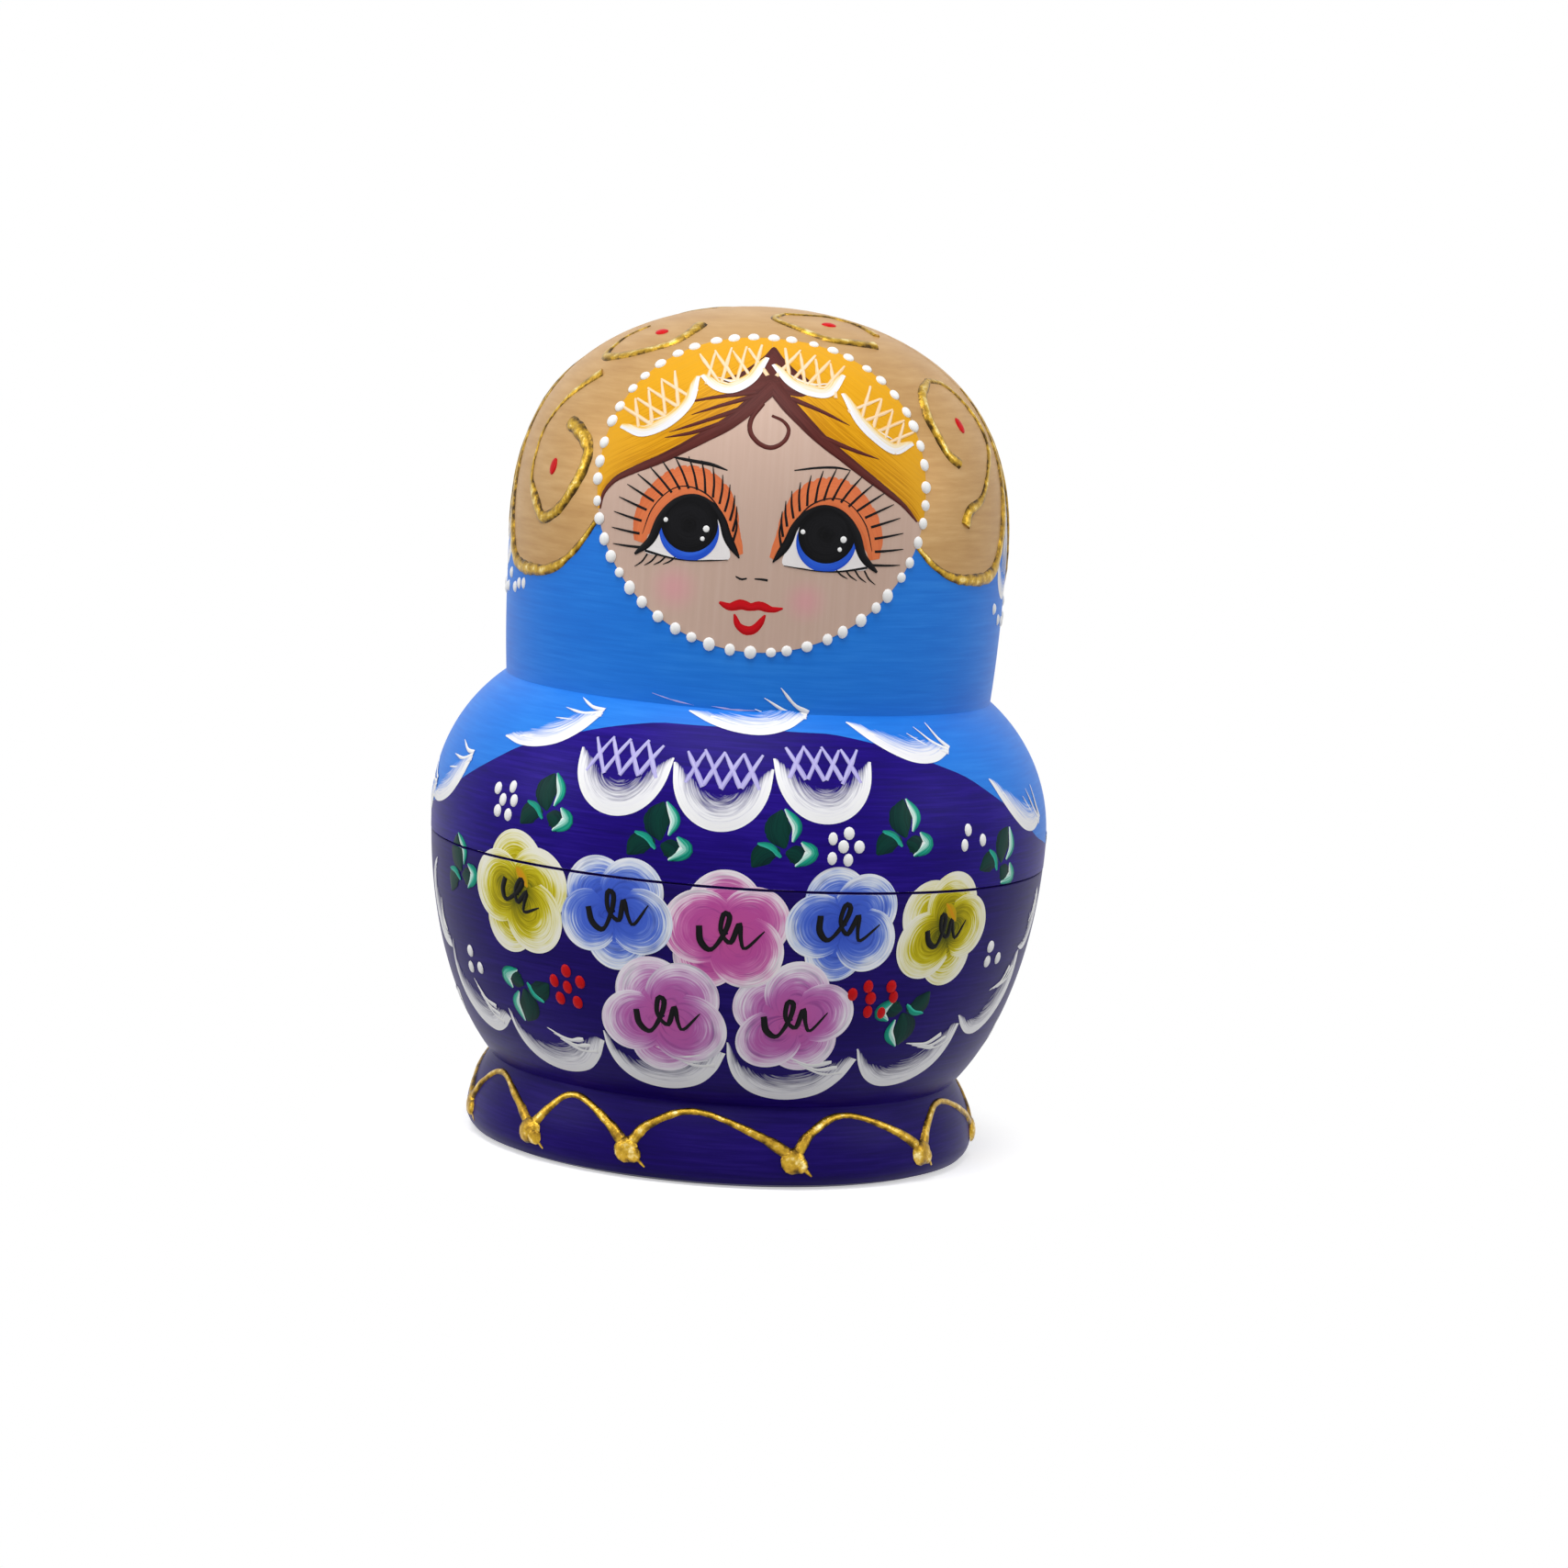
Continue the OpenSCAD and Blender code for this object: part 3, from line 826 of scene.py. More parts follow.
# %% [markdown]
# The head. A gold cap with rounded lobes covers it, the face is an oval of bare wood in front, and
# yellow hair lies above a parting. The lobes meet in notches, and the front two run into the ring
# of pearls. The columns of the cap's mesh run straight up to the crown, so they can't cross the
# notches. From here on, points are in millimetres as the front view shows them, or in degrees and
# height where a mark runs round the doll.

# %% Cap and face
LOBES = ((-156.0, 96.5), (-108.5, 96.5), (-61.0, 95.6), (57.5, 98.9), (106.0, 96.5), (154.5, 96.5))
LEFT_LOBE, RIGHT_LOBE = 2, 3
FACE_LEFT, FACE_RIGHT, UNDER_FACE = (-39.5, 104.8), (38.0, 104.5), 104.2
NOTCH_RISE, NOTCH_POWER, FACE_POWER = 30.0, 4.5, 2.5
LOBE_SHARES = (0.25, 0.5, 0.7, 0.82, 0.91, 0.97, 1.0)
RING_X, RING_Z, RING_MID, RING_POWER = 26.2, 24.5, 111.0, 0.9


def lobe_edge(k):
    """The edge of one lobe of the cap from left to right, in degrees and height."""
    mid, low = LOBES[k]
    left = ((mid - LOBES[k - 1][0]) % 360 / 2, NOTCH_RISE, NOTCH_POWER)
    right = ((LOBES[(k + 1) % len(LOBES)][0] - mid) % 360 / 2, NOTCH_RISE, NOTCH_POWER)
    if k == LEFT_LOBE:
        right = (FACE_LEFT[0] - mid, FACE_LEFT[1] - low, FACE_POWER)
    if k == RIGHT_LOBE:
        left = (mid - FACE_RIGHT[0], FACE_RIGHT[1] - low, FACE_POWER)
    return ([(mid - u * left[0], low + left[1] * u ** left[2]) for u in reversed(LOBE_SHARES)] + [(mid, low)]
            + [(mid + u * right[0], low + right[1] * u ** right[2]) for u in LOBE_SHARES])


def ring_point(angle):
    """A point of the ring of pearls: an ellipse that is a little squarer above."""
    c, s = math.cos(angle * RAD), math.sin(angle * RAD)
    power = RING_POWER if s > 0 else 1.0
    x, z = math.copysign(abs(c) ** power, c), math.copysign(abs(s) ** power, s)
    return front(RING_X * x, RING_MID + RING_Z * z)


edge_points = []
for k in range(len(LOBES)):
    edge_points += on_body(lobe_edge(k)[(0 if k == 0 else 1):])
    if k == LEFT_LOBE:
        edge_points += [body(az, UNDER_FACE) for az in (-28, -14, 0, 14, 26)] + [body(*FACE_RIGHT)]
cap_line = curve(edge_points)
sheet("cap", "bronze_powder_paint", cap_line, level_line(cap_line, CROWN - 0.02), rows=24, wide=True)

ring = [ring_point(a) for a in range(0, 360, 6)]
disc("face", "varnished_lime_face", ring, front(0.0, RING_MID), lift=0.1, rows=14, flat=True, wide=True)
print("cap edge in mm:", round(cap_line[3]), "points in the ring of the face:", len(ring))

# %% Hair
PARTING_LEFT = [(0.6, 128.4), (-1.9, 125.9), (-5.8, 122.3), (-10.6, 119.2), (-15.7, 116.1), (-20.2, 113.8),
                (-23.3, 111.9), (-25.1, 109.5), (-25.5, 107.0)]
PARTING_RIGHT = [(0.8, 128.4), (3.1, 125.8), (5.8, 123.3), (8.8, 120.7), (12.5, 118.1), (16.2, 115.5),
                 (20.0, 112.9), (22.7, 110.9), (25.0, 108.4)]
BROWN_FAN = [(0.4, 134.2), (2.0, 132.6), (4.2, 130.8), (6.6, 129.2), (5.6, 127.0), (0.6, 127.4),
             (-4.5, 126.8), (-8.6, 127.9), (-4.6, 130.0), (-1.2, 132.6)]
WISPS = [[(-1.2, 126.9), (-7.0, 124.9), (-11.9, 123.0)], [(-2.9, 125.0), (-9.0, 122.5), (-15.3, 120.0)],
         [(-5.4, 122.7), (-11.2, 120.4), (-15.9, 119.1)], [(3.6, 126.6), (8.4, 125.0), (13.2, 123.0)],
         [(8.8, 121.0), (13.8, 119.3), (18.2, 118.0)], [(-2.0, 127.2), (-8.6, 125.9), (-13.5, 124.6)]]
CURL = [(-0.8, 125.6), (-2.4, 123.1), (-2.4, 121.0), (-0.9, 119.4), (1.1, 118.9), (3.0, 120.0), (3.6, 121.8),
        (2.6, 123.1), (0.8, 123.8)]
for parting, end in ((PARTING_LEFT, 189.4), (PARTING_RIGHT, -6.1)):
    outer = curve([ring_point(a) for a in np.linspace(90.0, end, 19)])
    sheet("hair", "corn_yellow_hair", curve(on_front(parting)), outer, lift=0.14, rows=10, wide=True)
    stroke("hair", "brown_tempera", on_front(parting), (2.8, 2.7, 2.4, 2.0, 1.7, 1.5, 1.2, 0.8, 0.3), 0.16)
disc("hair", "brown_tempera", on_front(BROWN_FAN), front(0.2, 129.4), lift=0.16, last=6)
for wisp in WISPS:
    stroke("hair", "brown_tempera", on_front(wisp), (1.0, 0.7, 0.1), 0.16, last=5)
stroke("hair", "brown_tempera", on_front(CURL), (0.9, 0.8, 0.8, 0.8, 0.7, 0.6, 0.5), 0.12, last=8)
print("marks on the head so far:", len(marks))

# %% [markdown]
# White lace hangs over the hair: four scallops with a net of crossed lines in each. The pearls
# come last; a painter sets them with the round end of the brush, so they are thick, nearly even
# and never quite in line. A seeded generator gives each one its small error.

# %% Lace on the hair, and the pearls
PEARLS, PEARL_MM = 52, 1.85
HAIR_LACE = [[(-23.2, 119.9), (-19.5, 118.9), (-15.0, 121.0), (-11.7, 124.8), (-11.0, 128.9)],
             [(-11.0, 128.9), (-8.7, 127.1), (-5.5, 126.8), (-2.1, 128.9), (-0.2, 132.4)],
             [(0.2, 131.4), (2.9, 128.6), (6.6, 127.1), (10.1, 127.3), (12.1, 130.4)],
             [(11.5, 127.7), (13.9, 123.7), (17.0, 120.8), (20.7, 118.8), (23.7, 120.3)]]
# The middle of each net and its tilt in degrees
HAIR_NETS = [(-17.6, 124.4, 38), (-5.8, 131.0, 14), (6.4, 130.8, -14), (18.4, 123.8, -40)]
NET_LEAN = 0.5
chance = np.random.default_rng(7)


def net(group, finish, point, wide, tall, gap, width, lift, last):
    """Crossed lines over a field; point puts millimetres from its middle on the map."""
    count = int(wide / gap)
    for lean in (-NET_LEAN, NET_LEAN):
        for k in range(count + 1):
            x = -wide / 2 + wide * k / count
            low, high = -tall / 2 * chance.uniform(0.8, 1.05), tall / 2 * chance.uniform(0.8, 1.05)
            points = [point(x + lean * low, low), point(x, 0.0), point(x + lean * high, high)]
            stroke(group, finish, points, (width, width, width * 0.6), lift, 0.05, last=last, rough=0.12)


for scallop_line, (x, z, tilt) in zip(HAIR_LACE, HAIR_NETS):
    c, s = math.cos(tilt * RAD), math.sin(tilt * RAD)
    net("hair_lace", "hair_lattice_white", lambda a, b: front(x + a * c - b * s, z + a * s + b * c),
        7.6, 5.2, 2.2, 0.62, 0.2, 3)
    points = on_front(scallop_line)
    stroke("hair_lace", "hair_lace_white", points, (0.8, 1.9, 2.4, 1.9, 0.8), 0.24, 0.06, lean=-1.0, last=7)
    for k in (1, 2):
        inner = [near(p, 0.0, 1.2 + 0.7 * k) for p in points[1:-1]]
        stroke("hair_lace", "hair_lace_white", inner, (0.15, 0.5, 0.15), 0.2, 0.04, last=2, rough=0.2)

ring_line = curve(ring, True)
for k in range(PEARLS):
    az, way = along(ring_line, ((k + chance.uniform(-0.12, 0.12)) / PEARLS) % 1.0)
    fat = PEARL_MM * chance.uniform(0.88, 1.1)
    dot("pearls", "pearl_white", (float(az), float(way)), fat, fat * chance.uniform(0.95, 1.2), lift=0.14,
        rise=0.25)
print("marks with lace and pearls:", len(marks))

# %% [markdown]
# The eyes carry the look of the whole doll: a large black pupil, a blue crescent of iris under it,
# a little white in the corners, a heavy black lid, an apricot shadow above and long lashes. They
# are drawn once, in millimetres outwards and upwards from the pupil, and mirrored.

# %% Eyes
EYES = ((-1, -11.0, 106.1), (1, 10.7, 105.8))
WHITE_OF_EYE = [(7.0, -4.9), (3.4, -5.5), (0.0, -5.8), (-3.4, -5.4), (-6.7, -4.9), (-5.4, -1.0), (-3.6, 2.6),
                (0.0, 3.8), (3.6, 2.6), (5.6, -1.0)]
SHADOW = [(7.9, -3.6), (7.1, 0.4), (4.9, 3.8), (1.8, 6.3), (-1.5, 6.3), (-4.3, 4.3), (-6.0, 1.2),
          (-7.4, -2.1), (-8.4, -4.2)]
SHADOW_WIDTHS = (1.8, 3.8, 5.0, 5.4, 5.2, 4.8, 3.8, 2.4, 0.9)
LID = [(8.4, -5.6), (6.0, -3.2), (4.6, 0.3), (2.8, 2.9), (0.0, 4.4), (-2.9, 3.6), (-5.0, 1.2), (-6.2, -1.8),
       (-8.2, -4.8)]
CREASE = [(7.4, -2.3), (6.1, 1.8), (3.5, 4.9), (0.7, 5.8), (-2.6, 4.7), (-5.0, 1.9), (-6.6, -1.8)]
LOWER_RIM = [(6.8, -4.9), (3.0, -5.6), (0.0, -5.8), (-3.0, -5.6), (-6.4, -5.2)]
# Line, widths, lift, rise and smallest doll of each black line
EYE_LINES = ((LID, (0.4, 1.3, 1.6, 1.2, 0.6, 0.7, 1.2, 1.4, 0.2), 0.2, 0.08, 10),
             (CREASE, (0.1, 0.28, 0.25, 0.25, 0.3, 0.28, 0.1), 0.15, 0.04, 3),
             (LOWER_RIM, (0.4, 0.3, 0.2, 0.2, 0.1), 0.19, 0.04, 5))
# Finish, height of the middle above the pupil's, radius and lift of the two round spots
EYE_SPOTS = (("iris_blue", -1.15, 4.75, 0.18), ("black_enamel", 0.0, 4.5, 0.21))
GLINTS = ((-3.8, 0.3, 0.8), (2.7, -0.6, 1.1), (2.2, -2.2, 0.75))
# Distances from the pupil, in mm, of the roots and tips of the lashes over the share of the row
LASHES = 17
ROOT_AT, ROOT_R = (0, 0.37, 0.62, 0.8, 1), (8.7, 5.6, 5.4, 5.8, 7.4)
TIP_AT, TIP_R = (0, 0.2, 0.37, 0.56, 0.8, 1), (12.8, 11.9, 10.9, 10.5, 9.0, 7.5)
# Degrees round the pupil of the first root and tip, and how far their rows run on
ROOT_FROM, ROOT_SPAN, TIP_FROM, TIP_SPAN = -31, 231, -20, 187
for side, x0, z0 in EYES:
    def eye(o, u):
        return front(x0 + side * o, z0 + u)

    def polar(r, angle, up=0.0):
        return eye(r * math.cos(angle * RAD), up + r * math.sin(angle * RAD))

    stroke("eyes", "apricot_shadow", [eye(*p) for p in SHADOW], SHADOW_WIDTHS, 0.12, 0.03)
    disc("eyes", "eye_white", [eye(*p) for p in WHITE_OF_EYE], eye(0.0, -1.0), lift=0.15)
    for finish, up, r, lift in EYE_SPOTS:
        disc("eyes", finish, [polar(r, a, up) for a in range(0, 360, 20)], eye(0.0, up), lift=lift)
    for line, widths, lift, rise, last in EYE_LINES:
        stroke("eyes", "black_enamel", [eye(*p) for p in line], widths, lift, rise, last=last)
    for k in range(LASHES):
        u = k / (LASHES - 1)
        root_r, tip_r = np.interp(u, ROOT_AT, ROOT_R), np.interp(u, TIP_AT, TIP_R)
        root, tip = ROOT_FROM + ROOT_SPAN * u, TIP_FROM + TIP_SPAN * u
        bend = ((root_r + tip_r) / 2, root * 0.42 + tip * 0.58)
        stroke("eyes", "black_enamel", [polar(root_r, root), polar(*bend), polar(tip_r, tip)],
               (0.42, 0.34, 0.12), 0.17, 0.05, last=6 if k % 2 == 0 else 4)
    for k, length in enumerate((2.6, 2.2, 1.9, 1.6)):
        o = 6.4 - 1.5 * k
        points = [eye(o, -5.4), eye(o + 0.8, -5.4 - 0.5 * length), eye(o + 1.9, -5.5 - 0.8 * length)]
        stroke("eyes", "black_enamel", points, (0.3, 0.28, 0.1), 0.14, 0.05, last=4)
    for o, u, fat in GLINTS:
        dot("eyes", "pearl_white", eye(o * side, u), fat, lift=0.22, rise=0.12, last=7)
print("marks with eyes:", len(marks))

# %% Brows, nose and mouth
BROWS_AND_NOSE = (
    ([(-14.8, 116.3), (-11.0, 115.9), (-8.2, 115.6), (-5.6, 114.9)], (0.15, 0.55, 0.6, 0.2)),
    ([(4.9, 115.6), (8.4, 116.2), (11.5, 116.4), (13.8, 116.1)], (0.2, 0.35, 0.4, 0.15)),
    ([(-3.2, 98.4), (-2.3, 98.0), (-1.4, 98.2)], (0.2, 0.35, 0.25)),
    ([(-0.2, 98.2), (0.9, 98.2), (1.9, 98.1)], (0.2, 0.35, 0.4)))
LIPS = (
    ([(-5.5, 94.1), (-3.8, 93.5), (-2.1, 94.0), (-0.5, 93.7), (0.9, 94.0), (2.9, 93.5), (4.6, 93.8)],
     (0.4, 1.2, 1.7, 1.3, 1.5, 1.0, 0.3)),
    ([(-3.0, 92.4), (-2.2, 90.6), (-0.7, 89.9), (0.7, 90.6), (1.9, 92.6)], (0.3, 1.1, 1.5, 1.2, 0.3)))
for line, widths in BROWS_AND_NOSE:
    stroke("eyes", "black_enamel", on_front(line), widths, 0.13, 0.05, last=6)
for line, widths in LIPS:
    stroke("lips", "lip_red", on_front(line), widths, 0.12)
print("marks with the whole face:", len(marks))

# %% [markdown]
# The shawl ends in a curved hem, and below it begins the violet dress. Behind, where the picture
# shows nothing, the hem simply goes on at one height. White crescents with feathered ends follow
# the hem. On the chest hang three scallops of lace, each a broad brush turned once, white outside
# and dry inside, with a net above.

# %% Dress, hem and lace
HEM_AT = (0, 20, 32, 47, 60, 73, 90, 180)
HEM_Z = (74.6, 74.3, 72.3, 68.4, 62.5, 56.5, 53.2, 52.6)
CRESCENTS = (-70, -42, 0.5, 33.5, 63.5, 95, 125, 155, 185, 215, 245, 272)
CRESCENT = [(-9.6, 2.6), (-5.8, 0.3), (-1.5, -1.0), (2.8, -1.1), (6.6, 0.4), (9.4, 3.2)]
FEATHERS = [[(9.2, 3.0), (5.2, 2.8), (0.9, 4.1)], [(9.3, 3.5), (6.0, 4.0), (2.3, 6.0)],
            [(9.5, 4.0), (7.2, 5.2), (4.8, 7.8)], [(-6.0, 1.8), (-2.0, 1.4), (2.5, 2.0)]]
SLOPE_OVER = 4
# Degrees and height of the top, half the width and the depth of each scallop
CHEST_LACE = ((-23.0, 69.4, 8.1, 10.4), (-3.6, 68.8, 8.0, 10.6), (15.7, 70.4, 8.1, 10.4))


def hem(az):
    return float(np.interp(abs((az + 180) % 360 - 180), HEM_AT, HEM_Z))


hem_line = curve([body(az, hem(az)) for az in range(-180, 181, 6)])
sheet("dress", "violet_tempera", level_line(hem_line, way_up(SEAM_Z)), hem_line, rows=12, wide=True)

for az in CRESCENTS:
    rise = way_up(hem(az + SLOPE_OVER)) - way_up(hem(az - SLOPE_OVER))
    slope = rise / (2 * SLOPE_OVER * RAD * outline(hem(az)))
    middle, turned = body(az, hem(az)), math.degrees(math.atan(slope))
    stroke("hem_lace", "lace_over_azure", around(middle, CRESCENT, turned),
           (0.3, 2.2, 3.6, 4.6, 5.0, 4.2, 1.0), 0.1, lean=-1.0, last=6)
    for feather in FEATHERS:
        stroke("hem_lace", "white_gouache", around(middle, feather, turned), (0.8, 0.5, 0.1), 0.12, 0.05,
               last=3, rough=0.1)

for az, z, half, deep in CHEST_LACE:
    top = body(az, z)
    line = around(top, [(half * math.cos(a * RAD), -deep * abs(math.sin(a * RAD)) ** 0.8)
                        for a in range(180, 361, 15)])
    stroke("chest_lace", "lace_over_violet", line, (0.5, 3.8, 5.4, 6.0, 5.4, 3.8, 0.5), 0.1, 0.06, lean=-1.0,
           last=8)
    net("chest_lace", "lattice_white", lambda a, b: near(top, a, b - 0.6), 9.0, 6.4, 2.6, 0.75, 0.14, 4)
print("marks down to the chest:", len(marks))

# %% [markdown]
# The bouquet. Each flower is five lobes, and each lobe is one turn of a wide brush: its outer edge
# is white and the colour comes towards the middle. The lobes overlap, so the later ones show their
# white edge against the earlier ones. A quick black scribble stands for the stamens.

# %% Flowers
# Finish, degrees, height, reach in mm, first lobe's angle and scribble's tilt
FLOWERS = [("yellow_petal", -42.6, 44.8, 10.7, 10, -26), ("blue_petal", -21.6, 44.6, 10.0, 40, 9),
           ("pink_petal", -0.8, 42.8, 10.5, 5, 0), ("blue_petal", 20.6, 45.0, 9.9, 20, -6),
           ("yellow_petal", 42.0, 43.7, 10.0, 55, 11), ("lilac_petal", -12.0, 28.2, 10.7, 30, 3),
           ("lilac_petal", 12.7, 29.0, 10.4, 65, 7)]
SCRIBBLE = [(-3.3, 0.7), (-3.0, -1.2), (-1.7, -2.1), (-0.3, 0.0), (0.2, 2.0), (-0.5, 2.3), (-0.7, 0.2),
            (0.5, -1.1), (1.4, 1.3), (1.7, -0.7), (2.3, -1.7), (4.4, 0.5)]
SCRIBBLE_WIDTHS = (1.0, 1.1, 0.6, 0.8, 0.9, 0.8, 0.6, 0.9, 0.8, 0.6, 0.5, 0.2)
AMBER = [(-0.4, 4.4), (1.0, 3.0), (2.2, 1.4)]
SCRIBBLE_SCALE, YELLOW_SCALE = 1.35, 1.1
PETALS, LOBE_SHARE, FLATTER, HUB, OPEN = 5, 0.55, 0.95, 0.25, 120
# The lift of the first lobe, and what each further lobe and flower adds, so that none coincide
LOBE_LIFT, NEXT_LOBE, NEXT_FLOWER = 0.07, 0.012, 0.004
for k, (finish, az, z, reach, first, tilt) in enumerate(FLOWERS):
    middle, yellow = body(az, z), finish == "yellow_petal"
    for lobe in range(PETALS):
        angle = (first + 90 + 360 * (lobe * 2 % PETALS) / PETALS + chance.uniform(-6, 6)) * RAD
        fat = LOBE_SHARE * reach * chance.uniform(0.9, 1.06)
        far = reach - fat
        cx, cy = far * math.cos(angle), far * math.sin(angle) * FLATTER
        arc = [(cx + fat * math.cos(angle + a * RAD), cy + fat * math.sin(angle + a * RAD))
               for a in range(-OPEN, OPEN + 1, 20)]
        hub = [(HUB * math.cos(angle + a * RAD), HUB * math.sin(angle + a * RAD))
               for a in range(-OPEN, OPEN + 1, 60)]
        sheet("flowers", finish, curve(around(middle, arc)), curve(around(middle, hub)),
              lift=LOBE_LIFT + NEXT_LOBE * lobe + NEXT_FLOWER * k, rows=10)
    if yellow:
        stroke("flowers", "amber_touch", around(middle, AMBER), (0.3, 2.2, 0.4), 0.16, 0.02, last=5,
               rough=0.15)
    scale = YELLOW_SCALE if yellow else SCRIBBLE_SCALE
    stroke("scribbles", "black_enamel", around(middle, SCRIBBLE, tilt, scale), SCRIBBLE_WIDTHS, 0.18, 0.08,
           last=6)
print("marks with flowers:", len(marks))

# %% Leaves, berries and dots
LEAF_GROUPS = [(-37, 59.5, 0), (-14, 57.2, 0), (8, 57.4, 6), (31, 59.5, 0), (56, 54.5, -20), (-61, 46.5, 15),
               (-43, 28.5, 170), (36.5, 29.5, 190)]
# Finish, line, widths, lift and smallest doll of the strokes in a group of three leaves
LEAVES = (("leaf_green", [(0.3, -0.5), (-0.6, 2.5), (0.2, 5.6)], (0.5, 4.4, 0.3), 0.07, 7),
          ("leaf_green", [(-0.5, -0.8), (-3.0, -1.2), (-5.0, -3.2)], (0.5, 3.6, 0.4), 0.08, 7),
          ("leaf_green", [(0.4, -1.2), (2.2, -1.8), (2.6, -3.6)], (0.5, 3.2, 0.5), 0.08, 7),
          ("leaf_edge", [(0.7, 5.7), (2.4, 2.9), (1.6, 0.4)], (0.3, 1.7, 0.4), 0.11, 7),
          ("leaf_teal", [(-4.0, 0.5), (-2.0, -0.2), (-0.4, -1.9)], (0.3, 1.2, 0.4), 0.12, 5),
          ("leaf_edge", [(3.0, 0.3), (4.6, -1.6), (1.8, -3.5)], (0.4, 2.2, 0.3), 0.12, 7))
WHITE_DOTS = [(-50, 61.0), (-46, 61.7), (-48, 59.4), (-45, 59.6), (-49, 57.5), (-46, 57.2), (17, 58.7),
              (20, 59.6), (19, 57.5), (22, 57.5), (17, 55.6), (20, 55.4), (46, 59.8), (50, 58.0), (45, 57.4),
              (-60, 32.9), (-61, 30.1), (-57, 30.5), (57, 39.9), (57, 37.4), (61, 37.6)]
BERRIES = [(-32, 33.5), (-35, 31.5), (-29, 32.0), (-32, 30.8), (-34, 28.7), (-30, 28.5), (24, 33.4),
           (27, 34.7), (32, 34.6), (28, 32.7), (33, 32.8), (28, 30.4), (31, 30.2)]
for az, z, turned in LEAF_GROUPS:
    for finish, line, widths, lift, last in LEAVES:
        stroke("leaves", finish, around(body(az, z), line, turned), widths, lift, last=last)
for az, z in WHITE_DOTS:
    dot("white_dots", "pearl_white", body(az, z), 1.7 * chance.uniform(0.9, 1.1), 2.1, lift=0.06, last=8)
for az, z in BERRIES:
    dot("berries", "berry_red", body(az, z), 1.8 * chance.uniform(0.9, 1.1), 2.3, 10, lift=0.06, last=7)
print("marks with leaves and dots:", len(marks))

# %% [markdown]
# A row of lace scallops closes the dress above the foot. In front they hang deepest, and at the
# sides they climb beside the bouquet. Round the back they run on in a plain row.

# %% Scallops above the foot
CUSPS = [(-76, 46.0), (-70, 32.0), (-50, 23.0), (-25, 22.5), (0.5, 22.5), (28.5, 22.0), (54, 27.0),
         (72, 38.0), (78, 48.0)]
# Shares of the way from cusp to cusp, and of the depth there
DEPTH = ((0.0, -0.25), (0.02, 0.15), (0.09, 0.55), (0.22, 0.85), (0.4, 1.0), (0.6, 1.0), (0.8, 0.82),
         (0.93, 0.45), (1.0, 0.0))
FRONT_DEEP, BACK_DEEP, BACK_ROW, BACK_Z = 0.4, 0.3, 8, 24.0


def scallop(start, end, deep):
    """A C of lace from cusp to cusp that bulges to the right of its way; start and end on the map."""
    r = float(radius((start[1] + end[1]) / 2)) * RAD
    dx, dy = (end[0] - start[0]) * r, end[1] - start[1]

    def bulge(u, d):
        return start[0] + (dx * u + dy * d * deep) / r, start[1] + (dy * u - dx * d * deep)

    stroke("scallops", "lace_over_deep_violet", [bulge(*p) for p in DEPTH],
           (0.3, 1.6, 3.4, 4.8, 5.6, 6.0, 5.6, 4.4, 1.8), 0.05, 0.06, lean=-1.0, last=8)
    for k in range(3):
        u = 0.92 - 0.06 * k
        tail = [bulge(u, 0.3 - 0.12 * k), bulge(u - 0.16, 0.34 - 0.1 * k), bulge(u - 0.36, 0.16 - 0.1 * k)]
        stroke("scallops", "white_gouache", tail, (0.8, 0.5, 0.1), 0.1, 0.05, last=2, rough=0.2)
    return math.hypot(dx, dy)


chords = [scallop(body(*a), body(*b), FRONT_DEEP) for a, b in zip(CUSPS[:-1], CUSPS[1:])]
back_az = np.linspace(CUSPS[-1][0], CUSPS[0][0] + 360, BACK_ROW + 1)
for a, b in zip(back_az[:-1], back_az[1:]):
    scallop(body(a, BACK_Z), body(b, BACK_Z), BACK_DEEP)
print("front scallops in mm:", [round(c, 1) for c in chords])

# %% Lace below the notches of the cap, and dry strokes at the neck
NOTCH_LACE = [(-9, 101.5), (-7.5, 97.6), (-3.5, 95.2), (1.5, 95.0), (6.5, 97.2), (9, 101.0)]
NOTCH_RAYS = ((-4.5, 99.5, 106.5), (-1.5, 99.0, 110.0), (1.5, 99.0, 110.5), (4.5, 99.5, 107.0))
NOTCH_DOTS = ((-9.5, 93.6), (-4.5, 91.6), (1.0, 91.0), (5.5, 91.6), (8.8, 94.0), (12.8, 91.9), (15.8, 92.7),
              (18.8, 92.9))
NECK_LINES = ([(-22, 78.6), (-17, 77.8), (-12, 77.3)], [(-8, 77.4), (-3, 77.1), (2, 77.2)])
for k in range(len(LOBES)):
    if k == RIGHT_LOBE:
        continue
    notch = LOBES[k - 1][0] + (LOBES[k][0] - LOBES[k - 1][0]) % 360 / 2
    stroke("notch_lace", "lace_over_azure", [body(notch + a, z) for a, z in NOTCH_LACE],
           (0.5, 2.6, 3.6, 3.8, 3.2, 0.7), 0.05, 0.06, lean=-1.0, last=6)
    for a, low, high in NOTCH_RAYS:
        line = [body(notch + a, low), body(notch + 0.7 * a, (low + high) / 2), body(notch + 0.25 * a, high)]
        stroke("notch_lace", "white_gouache", line, (0.2, 0.7, 0.2), 0.07, 0.05, last=3, rough=0.2)
    for a, z in NOTCH_DOTS:
        dot("white_dots", "pearl_white", body(notch + a, z), 1.5 * chance.uniform(0.85, 1.1), 1.9, lift=0.03,
            last=6)
for line in NECK_LINES:
    stroke("hem_lace", "lattice_white", on_body(line), (0.05, 0.22, 0.05), 0.03, 0.02, last=1, rough=0.4)
print("marks with notches:", len(marks))

# %% [markdown]
# The gilding is done last. The relief paste is squeezed from a tube like icing: lines a good
# millimetre wide that swell and thin, blobs where two arcs meet, and red drops inside the loops of
# the cap. The loops that the picture shows are repeated on the lobes that it hides.

